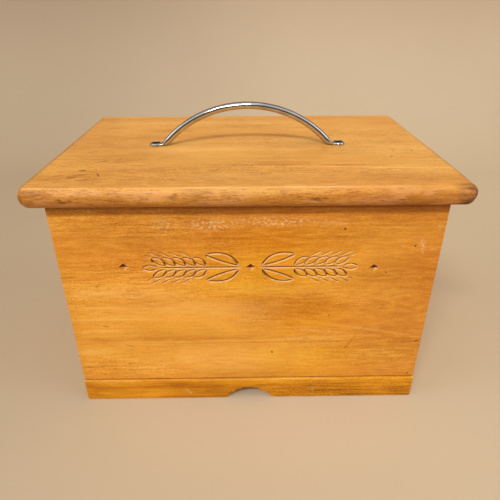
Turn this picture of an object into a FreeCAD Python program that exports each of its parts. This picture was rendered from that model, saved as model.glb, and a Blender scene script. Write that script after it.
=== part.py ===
"""Wooden bread box: a case, a lift-off lid with a bow handle, and a crumb drawer under the floor.

Frame: +X to the right, +Y to the back, +Z up. The origin is the centre of the case's
footprint on the table. Lengths are in millimetres.
"""

import FreeCAD
import Part
import Sketcher
import math
import os

from FreeCAD import Rotation, Vector

SIZES = {
    # Case: boards glued and nailed with square cut brads, the sides standing on the table.
    "case_width": 372.0,
    "case_depth": 253.0,
    "rim_height": 244.6,
    "front_thick": 13.0,
    "side_thick": 13.0,
    "back_thick": 12.0,
    "back_rebate": 6.5,
    "floor_thick": 6.0,
    "floor_groove": 5.0,
    "panel_play": 0.1,
    "edge_ease": 1.5,
    "brad_side": 1.6,
    "back_brad_length": 26.0,
    "back_brad_lowest": 20.0,
    "back_brad_pitch": 62.0,
    # Drawer bay: two runners along the foot of the sides.
    "runner_width": 10.0,
    "runner_height": 5.5,
    "runner_setback": 4.0,
    "runner_brad_length": 18.0,
    "runner_brad_spread": 150.0,
    # Drawer front: a strip across the whole case with an arched finger notch.
    "strip_lift": 0.5,
    "strip_height": 27.8,
    "strip_thick": 13.3,
    "strip_gap": 1.0,
    "strip_seat": 0.3,
    "strip_ease": 3.0,
    "strip_corner": 3.0,
    "notch_half_width": 29.0,
    "notch_rise": 14.8,
    "notch_ease": 5.5,
    "plug_radius": 3.2,
    "plug_length": 4.0,
    "plug_spread": 141.0,
    "plug_height": 10.8,
    # Drawer box behind the strip.
    "drawer_side_play": 1.0,
    "drawer_top_play": 0.6,
    "drawer_rear_gap": 6.0,
    "slide_play": 0.3,
    "drawer_side_thick": 9.0,
    "drawer_rail_thick": 18.0,
    "drawer_back_thick": 9.0,
    "drawer_bottom_thick": 3.2,
    "drawer_bottom_lift": 4.0,
    "drawer_groove": 3.0,
    "housing_depth": 3.0,
    "finger_half_width": 32.0,
    "finger_rise": 16.0,
    "finger_depth": 12.5,
    "drawer_screw_length": 20.0,
    # Lid: one thick board that overhangs the case all round, on two battens.
    "lid_overhang": 17.0,
    "lid_thick": 18.0,
    "lid_seat": 0.3,
    "lid_corner": 10.5,
    "lid_nose": 4.8,
    "batten_width": 22.0,
    "batten_thick": 12.0,
    "batten_play": 1.5,
    "batten_ease": 2.0,
    "batten_screw_length": 24.0,
    "batten_screw_spread": 150.0,
    # Wood screws shared by the battens and drawer.
    "screw_radius": 1.7,
    "screw_head_radius": 3.0,
    "hole_play": 0.05,
    # Handle: a rod bent to a bow, its ends flattened to eyes and screwed down.
    "handle_span": 203.2,
    "handle_rise": 43.0,
    "handle_forward": 6.0,
    "rod_radius": 3.95,
    "foot_bend": 7.0,
    "foot_reach": 9.5,
    "eye_radius": 7.1,
    "eye_thick": 3.4,
    "eye_bevel": 0.8,
    "handle_screw_radius": 1.9,
    "handle_screw_head_radius": 4.8,
    "handle_screw_length": 18.0,
    # How far a cutting solid reaches past the wood that it cuts.
    "cut_margin": 1.0,
}

# Places that several pieces share, as expressions on the sheet.
HALF_WIDTH = "(dims.case_width / 2)"
SIDE_INSIDE = "(dims.case_width / 2 - dims.side_thick)"
FRONT_FACE = "(-dims.case_depth / 2)"
FRONT_INSIDE = "(-dims.case_depth / 2 + dims.front_thick)"
BACK_FACE = "(dims.case_depth / 2)"
BACK_INSIDE = "(dims.case_depth / 2 - dims.back_thick)"
REBATE_WALL = "(dims.case_width / 2 - dims.side_thick + dims.back_rebate)"
FLOOR_FOOT = "(dims.strip_lift + dims.strip_height + dims.strip_gap)"
FLOOR_TOP = f"({FLOOR_FOOT} + dims.floor_thick)"
FLOOR_ROOF = f"({FLOOR_TOP} + dims.panel_play)"

STRIP_TOP = "(dims.strip_lift + dims.strip_height)"
STRIP_BACK = f"({FRONT_INSIDE} - dims.strip_seat)"
STRIP_FACE = f"({STRIP_BACK} - dims.strip_thick)"
RAIL_BACK = f"({STRIP_BACK} + dims.drawer_rail_thick)"
DRAWER_FOOT = "(dims.runner_height + dims.slide_play)"
DRAWER_TOP = f"({FLOOR_FOOT} - dims.drawer_top_play)"
DRAWER_REAR = f"({BACK_INSIDE} - dims.drawer_rear_gap)"
DRAWER_OUTSIDE = f"({SIDE_INSIDE} - dims.drawer_side_play)"
DRAWER_INSIDE = f"({DRAWER_OUTSIDE} - dims.drawer_side_thick)"
HOUSING_WALL = f"({DRAWER_INSIDE} + dims.housing_depth)"
DRAWER_BACK_REAR = f"({DRAWER_REAR} - dims.drawer_back_thick)"
DRAWER_BACK_FACE = f"({DRAWER_BACK_REAR} - dims.drawer_back_thick)"
BOTTOM_FOOT = f"({DRAWER_FOOT} + dims.drawer_bottom_lift)"
BOTTOM_TOP = f"({BOTTOM_FOOT} + dims.drawer_bottom_thick)"

LID_FOOT = "(dims.rim_height + dims.lid_seat)"
LID_TOP = f"({LID_FOOT} + dims.lid_thick)"
LID_HALF_LENGTH = "(dims.case_width / 2 + dims.lid_overhang)"
LID_HALF_DEPTH = "(dims.case_depth / 2 + dims.lid_overhang)"
NOSE_RADIUS = "((dims.lid_thick ^ 2 / 4 + dims.lid_nose ^ 2) / (2 * dims.lid_nose))"
BATTEN_FOOT = f"({LID_FOOT} - dims.batten_thick)"
BATTEN_OUTSIDE = f"({SIDE_INSIDE} - dims.batten_play)"
BATTEN_INSIDE = f"({BATTEN_OUTSIDE} - dims.batten_width)"
BATTEN_MIDDLE = f"({BATTEN_OUTSIDE} - dims.batten_width / 2)"
EYE_PLACE = "(dims.handle_span / 2)"
HANDLE_LINE = "(-dims.handle_forward)"

# How far each origin plane's normal points along its own axis.
NORMAL_SIGN = {"XY_Plane": 1, "XZ_Plane": -1, "YZ_Plane": 1}
AXIS_INDEX = {"XY_Plane": 2, "XZ_Plane": 1, "YZ_Plane": 0}

# Rotations that turn a fastener's length from +Z to the way it is driven.
DRIVEN_UP = Rotation()
DRIVEN_DOWN = Rotation(Vector(1, 0, 0), 180)
DRIVEN_BACK = Rotation(Vector(1, 0, 0), -90)

# Turns a section of the rod upright across X, with its first axis along Y.
ACROSS_ROD = Rotation(Vector(0, 1, 0), Vector(0, 0, 1), Vector(1, 0, 0), "XYZ")

PLACE_TOLERANCE = 0.001
HAND_NAMES = {-1: "left", 1: "right"}

doc = FreeCAD.newDocument("bread_box")
dims = doc.addObject("Spreadsheet::Sheet", "dims")
for row, (alias, size) in enumerate(SIZES.items(), start=1):
    dims.set(f"A{row}", alias)
    dims.set(f"B{row}", str(size))
    dims.setAlias(f"B{row}", alias)
doc.recompute()

nodes = []


# ---------------------------------------------------------------- sketches and features


def value(expression):
    """The present number of an expression on the sheet."""
    return dims.evalExpression(expression)


def new_body(name):
    body = doc.addObject("PartDesign::Body", name)
    nodes.append(body)
    return body


def origin_plane(body, role):
    return next(item for item in body.Origin.OriginFeatures if item.Role == role)


def new_sketch(body, name, plane, at):
    """A sketch parallel to an origin plane of its body, at a coordinate on that plane's axis."""
    sketch = body.newObject("Sketcher::SketchObject", name)
    sketch.AttachmentSupport = [(origin_plane(body, plane), "")]
    sketch.MapMode = "FlatFace"
    sketch.setExpression("AttachmentOffset.Base.z", f"{NORMAL_SIGN[plane]} * ({at})")
    return sketch


def tie(sketch, constraint, expression):
    """Add one constraint and bind its size to the sheet."""
    index = sketch.addConstraint(constraint)
    sketch.setExpression(f"Constraints[{index}]", expression)


def arc_between(start, end, radius, side):
    """The short arc between two points, with its centre to the left (1) or right (-1)."""
    chord = end - start
    reach = math.sqrt(max(radius**2 - (chord.Length / 2) ** 2, 0))
    across = Vector(-chord.y, chord.x, 0).normalize()
    centre = (start + end) / 2 + across * reach * side
    ways = [math.atan2((point - centre).y, (point - centre).x) for point in (start, end)]
    first, last = ways if side > 0 else reversed(ways)
    return Part.ArcOfCircle(Part.Circle(centre, Vector(0, 0, 1), radius), first, last)


def outline(sketch, corners, closed=True):
    """Draw a profile through corners (u, v) or (u, v, radius, side).

    A corner with a radius starts an arc. All places and radii are expressions.
    """
    points = [Vector(value(corner[0]), value(corner[1]), 0) for corner in corners]
    count = len(points) if closed else len(points) - 1
    ends = []
    for index in range(count):
        start, end = points[index], points[(index + 1) % len(points)]
        if len(corners[index]) == 2:
            edge = sketch.addGeometry(Part.LineSegment(start, end))
            ends.append((edge, 1, 2))
            continue
        _, _, radius, side = corners[index]
        edge = sketch.addGeometry(arc_between(start, end, value(radius), side))
        ends.append((edge, 1, 2) if side > 0 else (edge, 2, 1))
        tie(sketch, Sketcher.Constraint("Radius", edge, value(radius)), radius)
    for index, (edge, first, last) in enumerate(ends):
        for kind, place in (("DistanceX", corners[index][0]), ("DistanceY", corners[index][1])):
            tie(sketch, Sketcher.Constraint(kind, -1, 1, edge, first, value(place)), place)
        if closed or index + 1 < len(ends):
            following, follow_start, _ = ends[(index + 1) % len(ends)]
            sketch.addConstraint(
                Sketcher.Constraint("Coincident", edge, last, following, follow_start)
            )
    if not closed:
        edge, _, last = ends[-1]
        for kind, place in (("DistanceX", corners[-1][0]), ("DistanceY", corners[-1][1])):
            tie(sketch, Sketcher.Constraint(kind, -1, 1, edge, last, value(place)), place)
    return sketch


def rectangle(sketch, across, upward):
    """Draw a rectangle between two expressions on each axis."""
    (left, right), (low, high) = across, upward
    return outline(sketch, [(left, low), (right, low), (right, high), (left, high)])


def circles(sketch, centres, radius):
    for across, upward in centres:
        centre = Vector(value(across), value(upward), 0)
        edge = sketch.addGeometry(Part.Circle(centre, Vector(0, 0, 1), value(radius)))
        tie(sketch, Sketcher.Constraint("Radius", edge, value(radius)), radius)
        tie(sketch, Sketcher.Constraint("DistanceX", -1, 1, edge, 3, centre.x), across)
        tie(sketch, Sketcher.Constraint("DistanceY", -1, 1, edge, 3, centre.y), upward)
    return sketch


def plane_of(sketch):
    return sketch.AttachmentSupport[0][0].Role


def pad(body, sketch, length, towards):
    """Thicken a sketch towards + or - on its plane's axis."""
    feature = body.newObject("PartDesign::Pad", f"{sketch.Name}_pad")
    feature.Profile = sketch
    feature.setExpression("Length", length)
    feature.Reversed = towards != NORMAL_SIGN[plane_of(sketch)]
    doc.recompute()
    return feature


def pocket(body, sketch, depth, towards):
    """Cut a sketch into the body towards + or - on its plane's axis."""
    before = body.Shape.Volume
    feature = body.newObject("PartDesign::Pocket", f"{sketch.Name}_cut")
    feature.Profile = sketch
    feature.setExpression("Length", depth)
    feature.Reversed = towards == NORMAL_SIGN[plane_of(sketch)]
    doc.recompute()
    if not body.Shape.Volume < before:
        raise RuntimeError(f"{feature.Name} cuts nothing from {body.Label}")
    return feature


def sweep(body, profile, path):
    """Run a closed profile along a smooth closed path and add it to the body."""
    before = body.Shape.Volume
    feature = body.newObject("PartDesign::AdditivePipe", f"{profile.Name}_sweep")
    feature.Profile = profile
    feature.Spine = (path, [f"Edge{number}" for number in range(1, len(path.Shape.Edges) + 1)])
    doc.recompute()
    if not body.Shape.Volume > before:
        raise RuntimeError(f"{feature.Name} adds nothing to {body.Label}")
    return feature


def board(name, x, y, z):
    """A plain board between two expressions on each axis."""
    body = new_body(name)
    sketch = rectangle(new_sketch(body, f"{name}_plan", "XY_Plane", z[0]), x, y)
    pad(body, sketch, f"{z[1]} - {z[0]}", 1)
    return body


def flat_edges(body, **places):
    """Names of the edges that lie wholly at the given coordinates, such as x=..., z=..."""
    names = []
    for number, edge in enumerate(body.Shape.Edges, start=1):
        box = edge.BoundBox
        spans = {"x": (box.XMin, box.XMax), "y": (box.YMin, box.YMax), "z": (box.ZMin, box.ZMax)}
        if all(
            abs(limit - value(place)) < PLACE_TOLERANCE
            for axis, place in places.items()
            for limit in spans[axis]
        ):
            names.append(f"Edge{number}")
    return names


def dress(body, kind, names, size):
    """Fillet or chamfer named edges of the body as it stands."""
    if not names:
        raise RuntimeError(f"no edges to dress on {body.Label}")
    base = body.Tip
    feature = body.newObject(f"PartDesign::{kind}", f"{body.Name}_{kind.lower()}")
    feature.Base = (base, names)
    feature.setExpression("Radius" if kind == "Fillet" else "Size", size)
    doc.recompute()


def mouths(body, plane, at, radius):
    """Names of the circular edges of one radius that lie on a plane: the mouths of holes."""
    names = []
    for number, edge in enumerate(body.Shape.Edges, start=1):
        if not isinstance(edge.Curve, Part.Circle):
            continue
        level = edge.Curve.Center[AXIS_INDEX[plane]]
        same_radius = abs(edge.Curve.Radius - value(radius)) < PLACE_TOLERANCE
        if same_radius and abs(level - value(at)) < PLACE_TOLERANCE:
            names.append(f"Edge{number}")
    return names


def drill(body, name, plane, at, centres, radius, depth, towards, sink=None):
    """Drill round holes from one plane, countersunk at the mouth where sink is given."""
    sketch = circles(new_sketch(body, name, plane, at), centres, radius)
    pocket(body, sketch, depth, towards)
    if sink:
        dress(body, "Chamfer", mouths(body, plane, at, radius), sink)


def eased_arch(half_width, rise, ease):
    """Radius and tangent point of an arch whose feet turn out along the base in small arcs.

    half_width is where the feet meet the base; the tangent point is right of the middle and
    above the base.
    """
    both = f"(({half_width} ^ 2 + {rise} ^ 2) / (2 * {rise}))"
    radius = f"({both} - {ease})"
    across = f"({half_width} * {radius} / {both})"
    upward = f"({rise} - {radius} + ({both} - {rise}) * {radius} / {both})"
    return radius, across, upward


# ---------------------------------------------------------------- fasteners


def placed(item, place, rotation):
    """Set a solid's place from three expressions and turn it."""
    item.Placement.Rotation = rotation
    for axis, expression in zip("xyz", place):
        item.setExpression(f"Placement.Base.{axis}", expression)


def turned(kind, name, height, radii, start="0"):
    """A cylinder or cone on the Z axis, from start upward."""
    item = doc.addObject(f"Part::{kind}", name)
    item.setExpression("Height", height)
    for prop, radius in zip(("Radius",) if kind == "Cylinder" else ("Radius1", "Radius2"), radii):
        item.setExpression(prop, radius)
    item.setExpression("Placement.Base.z", start)
    return item


def wood_screw(name, place, rotation, head, shank, length):
    """A countersunk wood screw with its head's flat face at its place."""
    whole = doc.addObject("Part::MultiFuse", name)
    whole.Shapes = [
        turned("Cone", f"{name}_head", f"{head} - {shank}", (head, shank)),
        turned("Cylinder", f"{name}_shank", length, (shank,)),
    ]
    placed(whole, place, rotation)
    return whole


def brad(name, x, y, z):
    """A square headless nail between two expressions on each axis."""
    item = doc.addObject("Part::Box", name)
    for prop, axis, (low, high) in zip(("Length", "Width", "Height"), "xyz", (x, y, z)):
        item.setExpression(prop, f"{high} - ({low})")
        item.setExpression(f"Placement.Base.{axis}", low)
    return item


def brad_width(place, play="0"):
    """The two sides of a brad, or of its hole, about its middle."""
    half = f"(dims.brad_side / 2 + {play})"
    return f"{place} - {half}", f"{place} + {half}"


def brad_holes(body, name, plane, at, centres, depth, towards):
    """Square holes for brads, cut from one plane."""
    sketch = new_sketch(body, name, plane, at)
    for across, upward in centres:
        rectangle(
            sketch, brad_width(across, "dims.hole_play"), brad_width(upward, "dims.hole_play")
        )
    pocket(body, sketch, depth, towards)


def group(name, members):
    """Like fasteners, kept as one node of separate solids."""
    node = doc.addObject("Part::Compound", name)
    node.Links = members
    nodes.append(node)


SCREW = ("dims.screw_head_radius", "dims.screw_radius")
SCREW_HOLE = "(dims.screw_radius + dims.hole_play)"
SCREW_SINK = "(dims.screw_head_radius - dims.screw_radius)"

RUNNER_BRAD_LINE = "(dims.runner_height / 2)"
RUNNER_BRADS = [f"{end} * dims.runner_brad_spread / 2" for end in (-1, 0, 1)]
BACK_BRAD_COUNT = 4
BACK_BRADS = [
    f"(dims.back_brad_lowest + {step} * dims.back_brad_pitch)" for step in range(BACK_BRAD_COUNT)
]
BACK_BRAD_LINE = "(dims.case_width / 2 - dims.side_thick + dims.back_rebate / 2)"
BATTEN_SCREWS = [f"{end} * dims.batten_screw_spread / 2" for end in (-1, 1)]
DRAWER_SCREWS = [
    (f"{hand} * dims.plug_spread / 2", "dims.strip_lift + dims.plug_height") for hand in (-1, 1)
]


# ---------------------------------------------------------------- case


def make_front_panel():
    """Wide board over the sides' front edges, with a stopped rebate for the floor's tongue."""
    x = (f"-{HALF_WIDTH}", HALF_WIDTH)
    body = board("front_panel", x, (FRONT_FACE, FRONT_INSIDE), (FLOOR_FOOT, "dims.rim_height"))
    rebate = new_sketch(body, "front_rebate", "XZ_Plane", FRONT_INSIDE)
    rectangle(rebate, (f"-{SIDE_INSIDE}", SIDE_INSIDE), (f"{FLOOR_FOOT} - dims.cut_margin", FLOOR_ROOF))
    pocket(body, rebate, "dims.floor_groove", -1)
    corners = [
        name
        for side in (f"-{HALF_WIDTH}", HALF_WIDTH)
        for name in flat_edges(body, x=side, y=FRONT_FACE)
    ]
    foot = flat_edges(body, y=FRONT_FACE, z=FLOOR_FOOT)
    dress(body, "Fillet", corners + foot, "dims.edge_ease")


def make_side(hand):
    """Side board with a rear rebate for the back and a groove for the floor."""
    name = f"{HAND_NAMES[hand]}_side"
    body = new_body(name)
    outside, inside, wall = (f"{hand} * {x}" for x in (HALF_WIDTH, SIDE_INSIDE, REBATE_WALL))
    plan = outline(
        new_sketch(body, f"{name}_plan", "XY_Plane", "0"),
        [
            (outside, FRONT_INSIDE),
            (outside, BACK_FACE),
            (wall, BACK_FACE),
            (wall, BACK_INSIDE),
            (inside, BACK_INSIDE),
            (inside, FRONT_INSIDE),
        ],
    )
    pad(body, plan, "dims.rim_height", 1)
    groove = new_sketch(body, f"{name}_groove", "YZ_Plane", inside)
    reach = (f"{FRONT_INSIDE} - dims.cut_margin", f"{BACK_INSIDE} + dims.cut_margin")
    rectangle(groove, reach, (FLOOR_FOOT, FLOOR_ROOF))
    pocket(body, groove, "dims.floor_groove", hand)
    dress(body, "Fillet", flat_edges(body, x=outside, y=BACK_FACE), "dims.edge_ease")
    brad_holes(
        body, f"{name}_back_brads", "XZ_Plane", BACK_INSIDE,
        [(f"{hand} * {BACK_BRAD_LINE}", height) for height in BACK_BRADS],
        "dims.back_brad_length - dims.back_thick", -1,
    )
    brad_holes(
        body, f"{name}_runner_brads", "YZ_Plane", inside,
        [(place, RUNNER_BRAD_LINE) for place in RUNNER_BRADS],
        "dims.runner_brad_length - dims.runner_width", hand,
    )


def make_back_panel():
    """Back board between the sides' rebates, grooved for the floor."""
    half = f"({REBATE_WALL} - dims.panel_play)"
    x = (f"-{half}", half)
    body = board("back_panel", x, (BACK_INSIDE, BACK_FACE), ("0", "dims.rim_height"))
    groove = new_sketch(body, "back_groove", "XZ_Plane", BACK_INSIDE)
    rectangle(groove, (f"-{SIDE_INSIDE}", SIDE_INSIDE), (FLOOR_FOOT, FLOOR_ROOF))
    pocket(body, groove, "dims.floor_groove", 1)
    centres = [(f"{hand} * {BACK_BRAD_LINE}", z) for hand in HAND_NAMES for z in BACK_BRADS]
    brad_holes(body, "back_brad_holes", "XZ_Plane", BACK_FACE, centres, "dims.back_thick", -1)


def make_floor_panel():
    """Thin floor with shoulders: a tongue in front, and edges in the side and back grooves."""
    body = new_body("floor_panel")
    tongue = f"({SIDE_INSIDE} - dims.panel_play)"
    groove = f"({SIDE_INSIDE} + dims.floor_groove - dims.panel_play)"
    front = f"{FRONT_INSIDE} - dims.floor_groove + dims.panel_play"
    shoulder = f"{FRONT_INSIDE} + dims.panel_play"
    rear_shoulder = f"{BACK_INSIDE} - dims.panel_play"
    rear = f"{BACK_INSIDE} + dims.floor_groove - dims.panel_play"
    right_edge = [
        (tongue, front),
        (tongue, shoulder),
        (groove, shoulder),
        (groove, rear_shoulder),
        (tongue, rear_shoulder),
        (tongue, rear),
    ]
    left_edge = [(f"-{across}", along) for across, along in reversed(right_edge)]
    plan = outline(new_sketch(body, "floor_plan", "XY_Plane", FLOOR_FOOT), right_edge + left_edge)
    pad(body, plan, "dims.floor_thick", 1)


def make_runner(hand):
    """Strip along the foot of a side, nailed to it, that the drawer slides on."""
    inner = f"{hand} * ({SIDE_INSIDE} - dims.runner_width)"
    x = (inner, f"{hand} * {SIDE_INSIDE}")
    y = (f"({FRONT_INSIDE} + dims.runner_setback)", BACK_INSIDE)
    body = board(f"{HAND_NAMES[hand]}_runner", x, y, ("0", "dims.runner_height"))
    brad_holes(
        body, f"{body.Name}_brads", "YZ_Plane", inner,
        [(place, RUNNER_BRAD_LINE) for place in RUNNER_BRADS],
        "dims.runner_width", hand,
    )


def make_runner_brads():
    """Brads driven outward through the runners into the sides."""
    brads = []
    for hand, name in HAND_NAMES.items():
        head = f"{hand} * ({SIDE_INSIDE} - dims.runner_width)"
        point = f"{head} + {hand} * dims.runner_brad_length"
        x = (head, point) if hand > 0 else (point, head)
        for number, place in enumerate(RUNNER_BRADS, start=1):
            brads.append(brad(
                f"runner_brad_{name}_{number}", x, brad_width(place), brad_width(RUNNER_BRAD_LINE)
            ))
    group("runner_brads", brads)


def make_back_brads():
    """Brads driven forward through the back panel into the sides."""
    y = (f"{BACK_FACE} - dims.back_brad_length", BACK_FACE)
    group("back_brads", [
        brad(
            f"back_brad_{name}_{number}",
            brad_width(f"{hand} * {BACK_BRAD_LINE}"), y, brad_width(height),
        )
        for hand, name in HAND_NAMES.items()
        for number, height in enumerate(BACK_BRADS, start=1)
    ])


# ---------------------------------------------------------------- drawer


def make_drawer_front():
    """Strip with an arched notch whose feet flow into the lower edge, and two plugged holes."""
    body = new_body("drawer_front")
    foot = "dims.strip_lift"
    half = "dims.notch_half_width"
    radius, across, upward = eased_arch(half, "dims.notch_rise", "dims.notch_ease")
    corner = "dims.strip_corner"
    end = f"({HALF_WIDTH} - {corner})"
    shape = [
        (f"-{end}", foot),
        (f"-{half}", foot, "dims.notch_ease", 1),
        (f"-{across}", f"{foot} + {upward}", radius, -1),
        (across, f"{foot} + {upward}", "dims.notch_ease", 1),
        (half, foot),
        (end, foot, corner, 1),
        (HALF_WIDTH, f"{foot} + {corner}"),
        (HALF_WIDTH, STRIP_TOP),
        (f"-{HALF_WIDTH}", STRIP_TOP),
        (f"-{HALF_WIDTH}", f"{foot} + {corner}", corner, 1),
    ]
    sketch = outline(new_sketch(body, "strip_outline", "XZ_Plane", STRIP_FACE), shape)
    pad(body, sketch, "dims.strip_thick", 1)
    dress(body, "Fillet", flat_edges(body, y=STRIP_FACE, z=STRIP_TOP), "dims.strip_ease")
    drill(
        body, "plug_holes", "XZ_Plane", STRIP_FACE, DRAWER_SCREWS,
        "(dims.plug_radius + dims.hole_play)", "dims.plug_length", 1,
    )
    drill(
        body, "strip_screw_holes", "XZ_Plane", f"({STRIP_FACE} + dims.plug_length)",
        DRAWER_SCREWS, SCREW_HOLE, "dims.strip_thick", 1, SCREW_SINK,
    )


def make_drawer_plugs():
    plugs = []
    for hand, place in zip(HAND_NAMES, DRAWER_SCREWS):
        name = f"drawer_plug_{HAND_NAMES[hand]}"
        plug = turned("Cylinder", name, "dims.plug_length", ("dims.plug_radius",))
        placed(plug, (place[0], STRIP_FACE, place[1]), DRIVEN_BACK)
        plugs.append(plug)
    group("drawer_plugs", plugs)


def make_drawer_screws():
    group("drawer_screws", [
        wood_screw(
            f"drawer_screw_{HAND_NAMES[hand]}",
            (place[0], f"{STRIP_FACE} + dims.plug_length", place[1]),
            DRIVEN_BACK,
            *SCREW, "dims.drawer_screw_length",
        )
        for hand, place in zip(HAND_NAMES, DRAWER_SCREWS)
    ])


def make_drawer_rail():
    """Front rail with a recess for the fingertips behind the strip and a groove behind."""
    half = f"({HOUSING_WALL} - dims.panel_play)"
    body = board(
        "drawer_rail", (f"-{half}", half), (STRIP_BACK, RAIL_BACK), (DRAWER_FOOT, DRAWER_TOP)
    )
    width, rise = "dims.finger_half_width", "dims.finger_rise"
    radius = f"(({width} ^ 2 + {rise} ^ 2) / (2 * {rise}))"
    recess = new_sketch(body, "finger_recess", "XZ_Plane", STRIP_BACK)
    outline(recess, [
        (f"-{width}", f"{DRAWER_FOOT} - dims.cut_margin"),
        (width, f"{DRAWER_FOOT} - dims.cut_margin"),
        (width, DRAWER_FOOT, radius, 1),
        (f"-{width}", DRAWER_FOOT),
    ])
    pocket(body, recess, "dims.finger_depth", 1)
    groove = new_sketch(body, "rail_groove", "XZ_Plane", RAIL_BACK)
    reach = (f"-{half} - dims.cut_margin", f"{half} + dims.cut_margin")
    rectangle(groove, reach, (BOTTOM_FOOT, f"{BOTTOM_TOP} + dims.panel_play"))
    pocket(body, groove, "dims.drawer_groove", -1)
    drill(
        body, "rail_screw_holes", "XZ_Plane", STRIP_BACK, DRAWER_SCREWS, SCREW_HOLE,
        "dims.drawer_screw_length + dims.plug_length - dims.strip_thick", 1,
    )


def make_drawer_side(hand):
    """Drawer side with housings for the rail and back, and a groove for the bottom."""
    name = f"drawer_{HAND_NAMES[hand]}_side"
    body = new_body(name)
    outside, inside, wall = (
        f"{hand} * {x}" for x in (DRAWER_OUTSIDE, DRAWER_INSIDE, HOUSING_WALL)
    )
    rail_end = f"({RAIL_BACK} + dims.panel_play)"
    back_start = f"({DRAWER_BACK_FACE} - dims.panel_play)"
    back_end = f"({DRAWER_BACK_REAR} + dims.panel_play)"
    plan = outline(
        new_sketch(body, f"{name}_plan", "XY_Plane", DRAWER_FOOT),
        [
            (outside, STRIP_BACK),
            (outside, DRAWER_REAR),
            (inside, DRAWER_REAR),
            (inside, back_end),
            (wall, back_end),
            (wall, back_start),
            (inside, back_start),
            (inside, rail_end),
            (wall, rail_end),
            (wall, STRIP_BACK),
        ],
    )
    pad(body, plan, f"{DRAWER_TOP} - {DRAWER_FOOT}", 1)
    groove = new_sketch(body, f"{name}_groove", "YZ_Plane", inside)
    rectangle(
        groove,
        (f"{RAIL_BACK} - dims.drawer_groove", f"{DRAWER_REAR} + dims.cut_margin"),
        (BOTTOM_FOOT, f"{BOTTOM_TOP} + dims.panel_play"),
    )
    pocket(body, groove, "dims.drawer_groove", hand)


def make_drawer_back():
    """Low back between the drawer sides, standing on the bottom."""
    half = f"({HOUSING_WALL} - dims.panel_play)"
    foot = f"({BOTTOM_TOP} + dims.panel_play)"
    board(
        "drawer_back", (f"-{half}", half), (DRAWER_BACK_FACE, DRAWER_BACK_REAR), (foot, DRAWER_TOP)
    )


def make_drawer_bottom():
    """Thin bottom slid in from behind, in the grooves of the sides and rail."""
    half = f"({DRAWER_INSIDE} + dims.drawer_groove - dims.panel_play)"
    front = f"({RAIL_BACK} - dims.drawer_groove + dims.panel_play)"
    board("drawer_bottom", (f"-{half}", half), (front, DRAWER_REAR), (BOTTOM_FOOT, BOTTOM_TOP))


# ---------------------------------------------------------------- lid


def make_lid_board():
    """Lid board with round corners, its nosing swept round the flat part from crease to crease."""
    body = new_body("lid_board")
    corner = "(dims.lid_corner - dims.lid_nose)"
    crease_x, crease_y = f"({LID_HALF_LENGTH} - dims.lid_nose)", f"({LID_HALF_DEPTH} - dims.lid_nose)"
    x, y = f"({crease_x} - {corner})", f"({crease_y} - {corner})"
    plan = outline(
        new_sketch(body, "lid_plan", "XY_Plane", LID_FOOT),
        [
            (f"-{x}", f"-{crease_y}"),
            (x, f"-{crease_y}", corner, 1),
            (crease_x, f"-{y}"),
            (crease_x, y, corner, 1),
            (x, crease_y),
            (f"-{x}", crease_y, corner, 1),
            (f"-{crease_x}", y),
            (f"-{crease_x}", f"-{y}", corner, 1),
        ],
    )
    pad(body, plan, "dims.lid_thick", 1)
    nose = outline(
        new_sketch(body, "lid_nosing", "YZ_Plane", "0"),
        [(f"-{crease_y}", LID_TOP, NOSE_RADIUS, 1), (f"-{crease_y}", LID_FOOT)],
    )
    sweep(body, nose, plan)
    eyes = [(f"{hand} * {EYE_PLACE}", HANDLE_LINE) for hand in HAND_NAMES]
    drill(
        body, "handle_screw_holes", "XY_Plane", LID_TOP, eyes,
        "(dims.handle_screw_radius + dims.hole_play)",
        "dims.handle_screw_length - dims.eye_thick", -1,
    )
    screws = [(f"{hand} * {BATTEN_MIDDLE}", place) for hand in HAND_NAMES for place in BATTEN_SCREWS]
    drill(
        body, "lid_batten_holes", "XY_Plane", LID_FOOT, screws,
        SCREW_HOLE, "dims.batten_screw_length - dims.batten_thick", 1,
    )


def make_batten(hand):
    """Cleat under the lid, just inside the case, that keeps the lid flat and in place."""
    x = (f"{hand} * {BATTEN_INSIDE}", f"{hand} * {BATTEN_OUTSIDE}")
    y = (f"({FRONT_INSIDE} + dims.batten_play)", f"({BACK_INSIDE} - dims.batten_play)")
    body = board(f"{HAND_NAMES[hand]}_batten", x, y, (BATTEN_FOOT, LID_FOOT))
    dress(body, "Chamfer", flat_edges(body, z=BATTEN_FOOT), "dims.batten_ease")
    screws = [(f"{hand} * {BATTEN_MIDDLE}", place) for place in BATTEN_SCREWS]
    drill(
        body, f"{body.Name}_holes", "XY_Plane", BATTEN_FOOT, screws,
        SCREW_HOLE, "dims.batten_thick", 1, SCREW_SINK,
    )


def make_batten_screws():
    group("batten_screws", [
        wood_screw(
            f"batten_screw_{HAND_NAMES[hand]}_{number}",
            (f"{hand} * {BATTEN_MIDDLE}", place, BATTEN_FOOT),
            DRIVEN_UP,
            *SCREW, "dims.batten_screw_length",
        )
        for hand in HAND_NAMES
        for number, place in enumerate(BATTEN_SCREWS, start=1)
    ])


def make_foot_flattening(bend):
    """The rod's right end, lofted from its round section to the flat of the eye."""
    round_end = doc.addObject("Part::Circle", "foot_round_end")
    round_end.setExpression("Radius", "dims.rod_radius")
    placed(round_end, (bend, "0", "dims.rod_radius"), ACROSS_ROD)
    flat_end = doc.addObject("Part::Ellipse", "foot_flat_end")
    flat_end.setExpression("MajorRadius", "dims.eye_radius")
    flat_end.setExpression("MinorRadius", "dims.eye_thick / 2")
    placed(flat_end, (EYE_PLACE, "0", "dims.eye_thick / 2"), ACROSS_ROD)
    foot = doc.addObject("Part::Loft", "foot_flattening")
    foot.Sections = [round_end, flat_end]
    foot.Solid = True
    return foot


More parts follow.
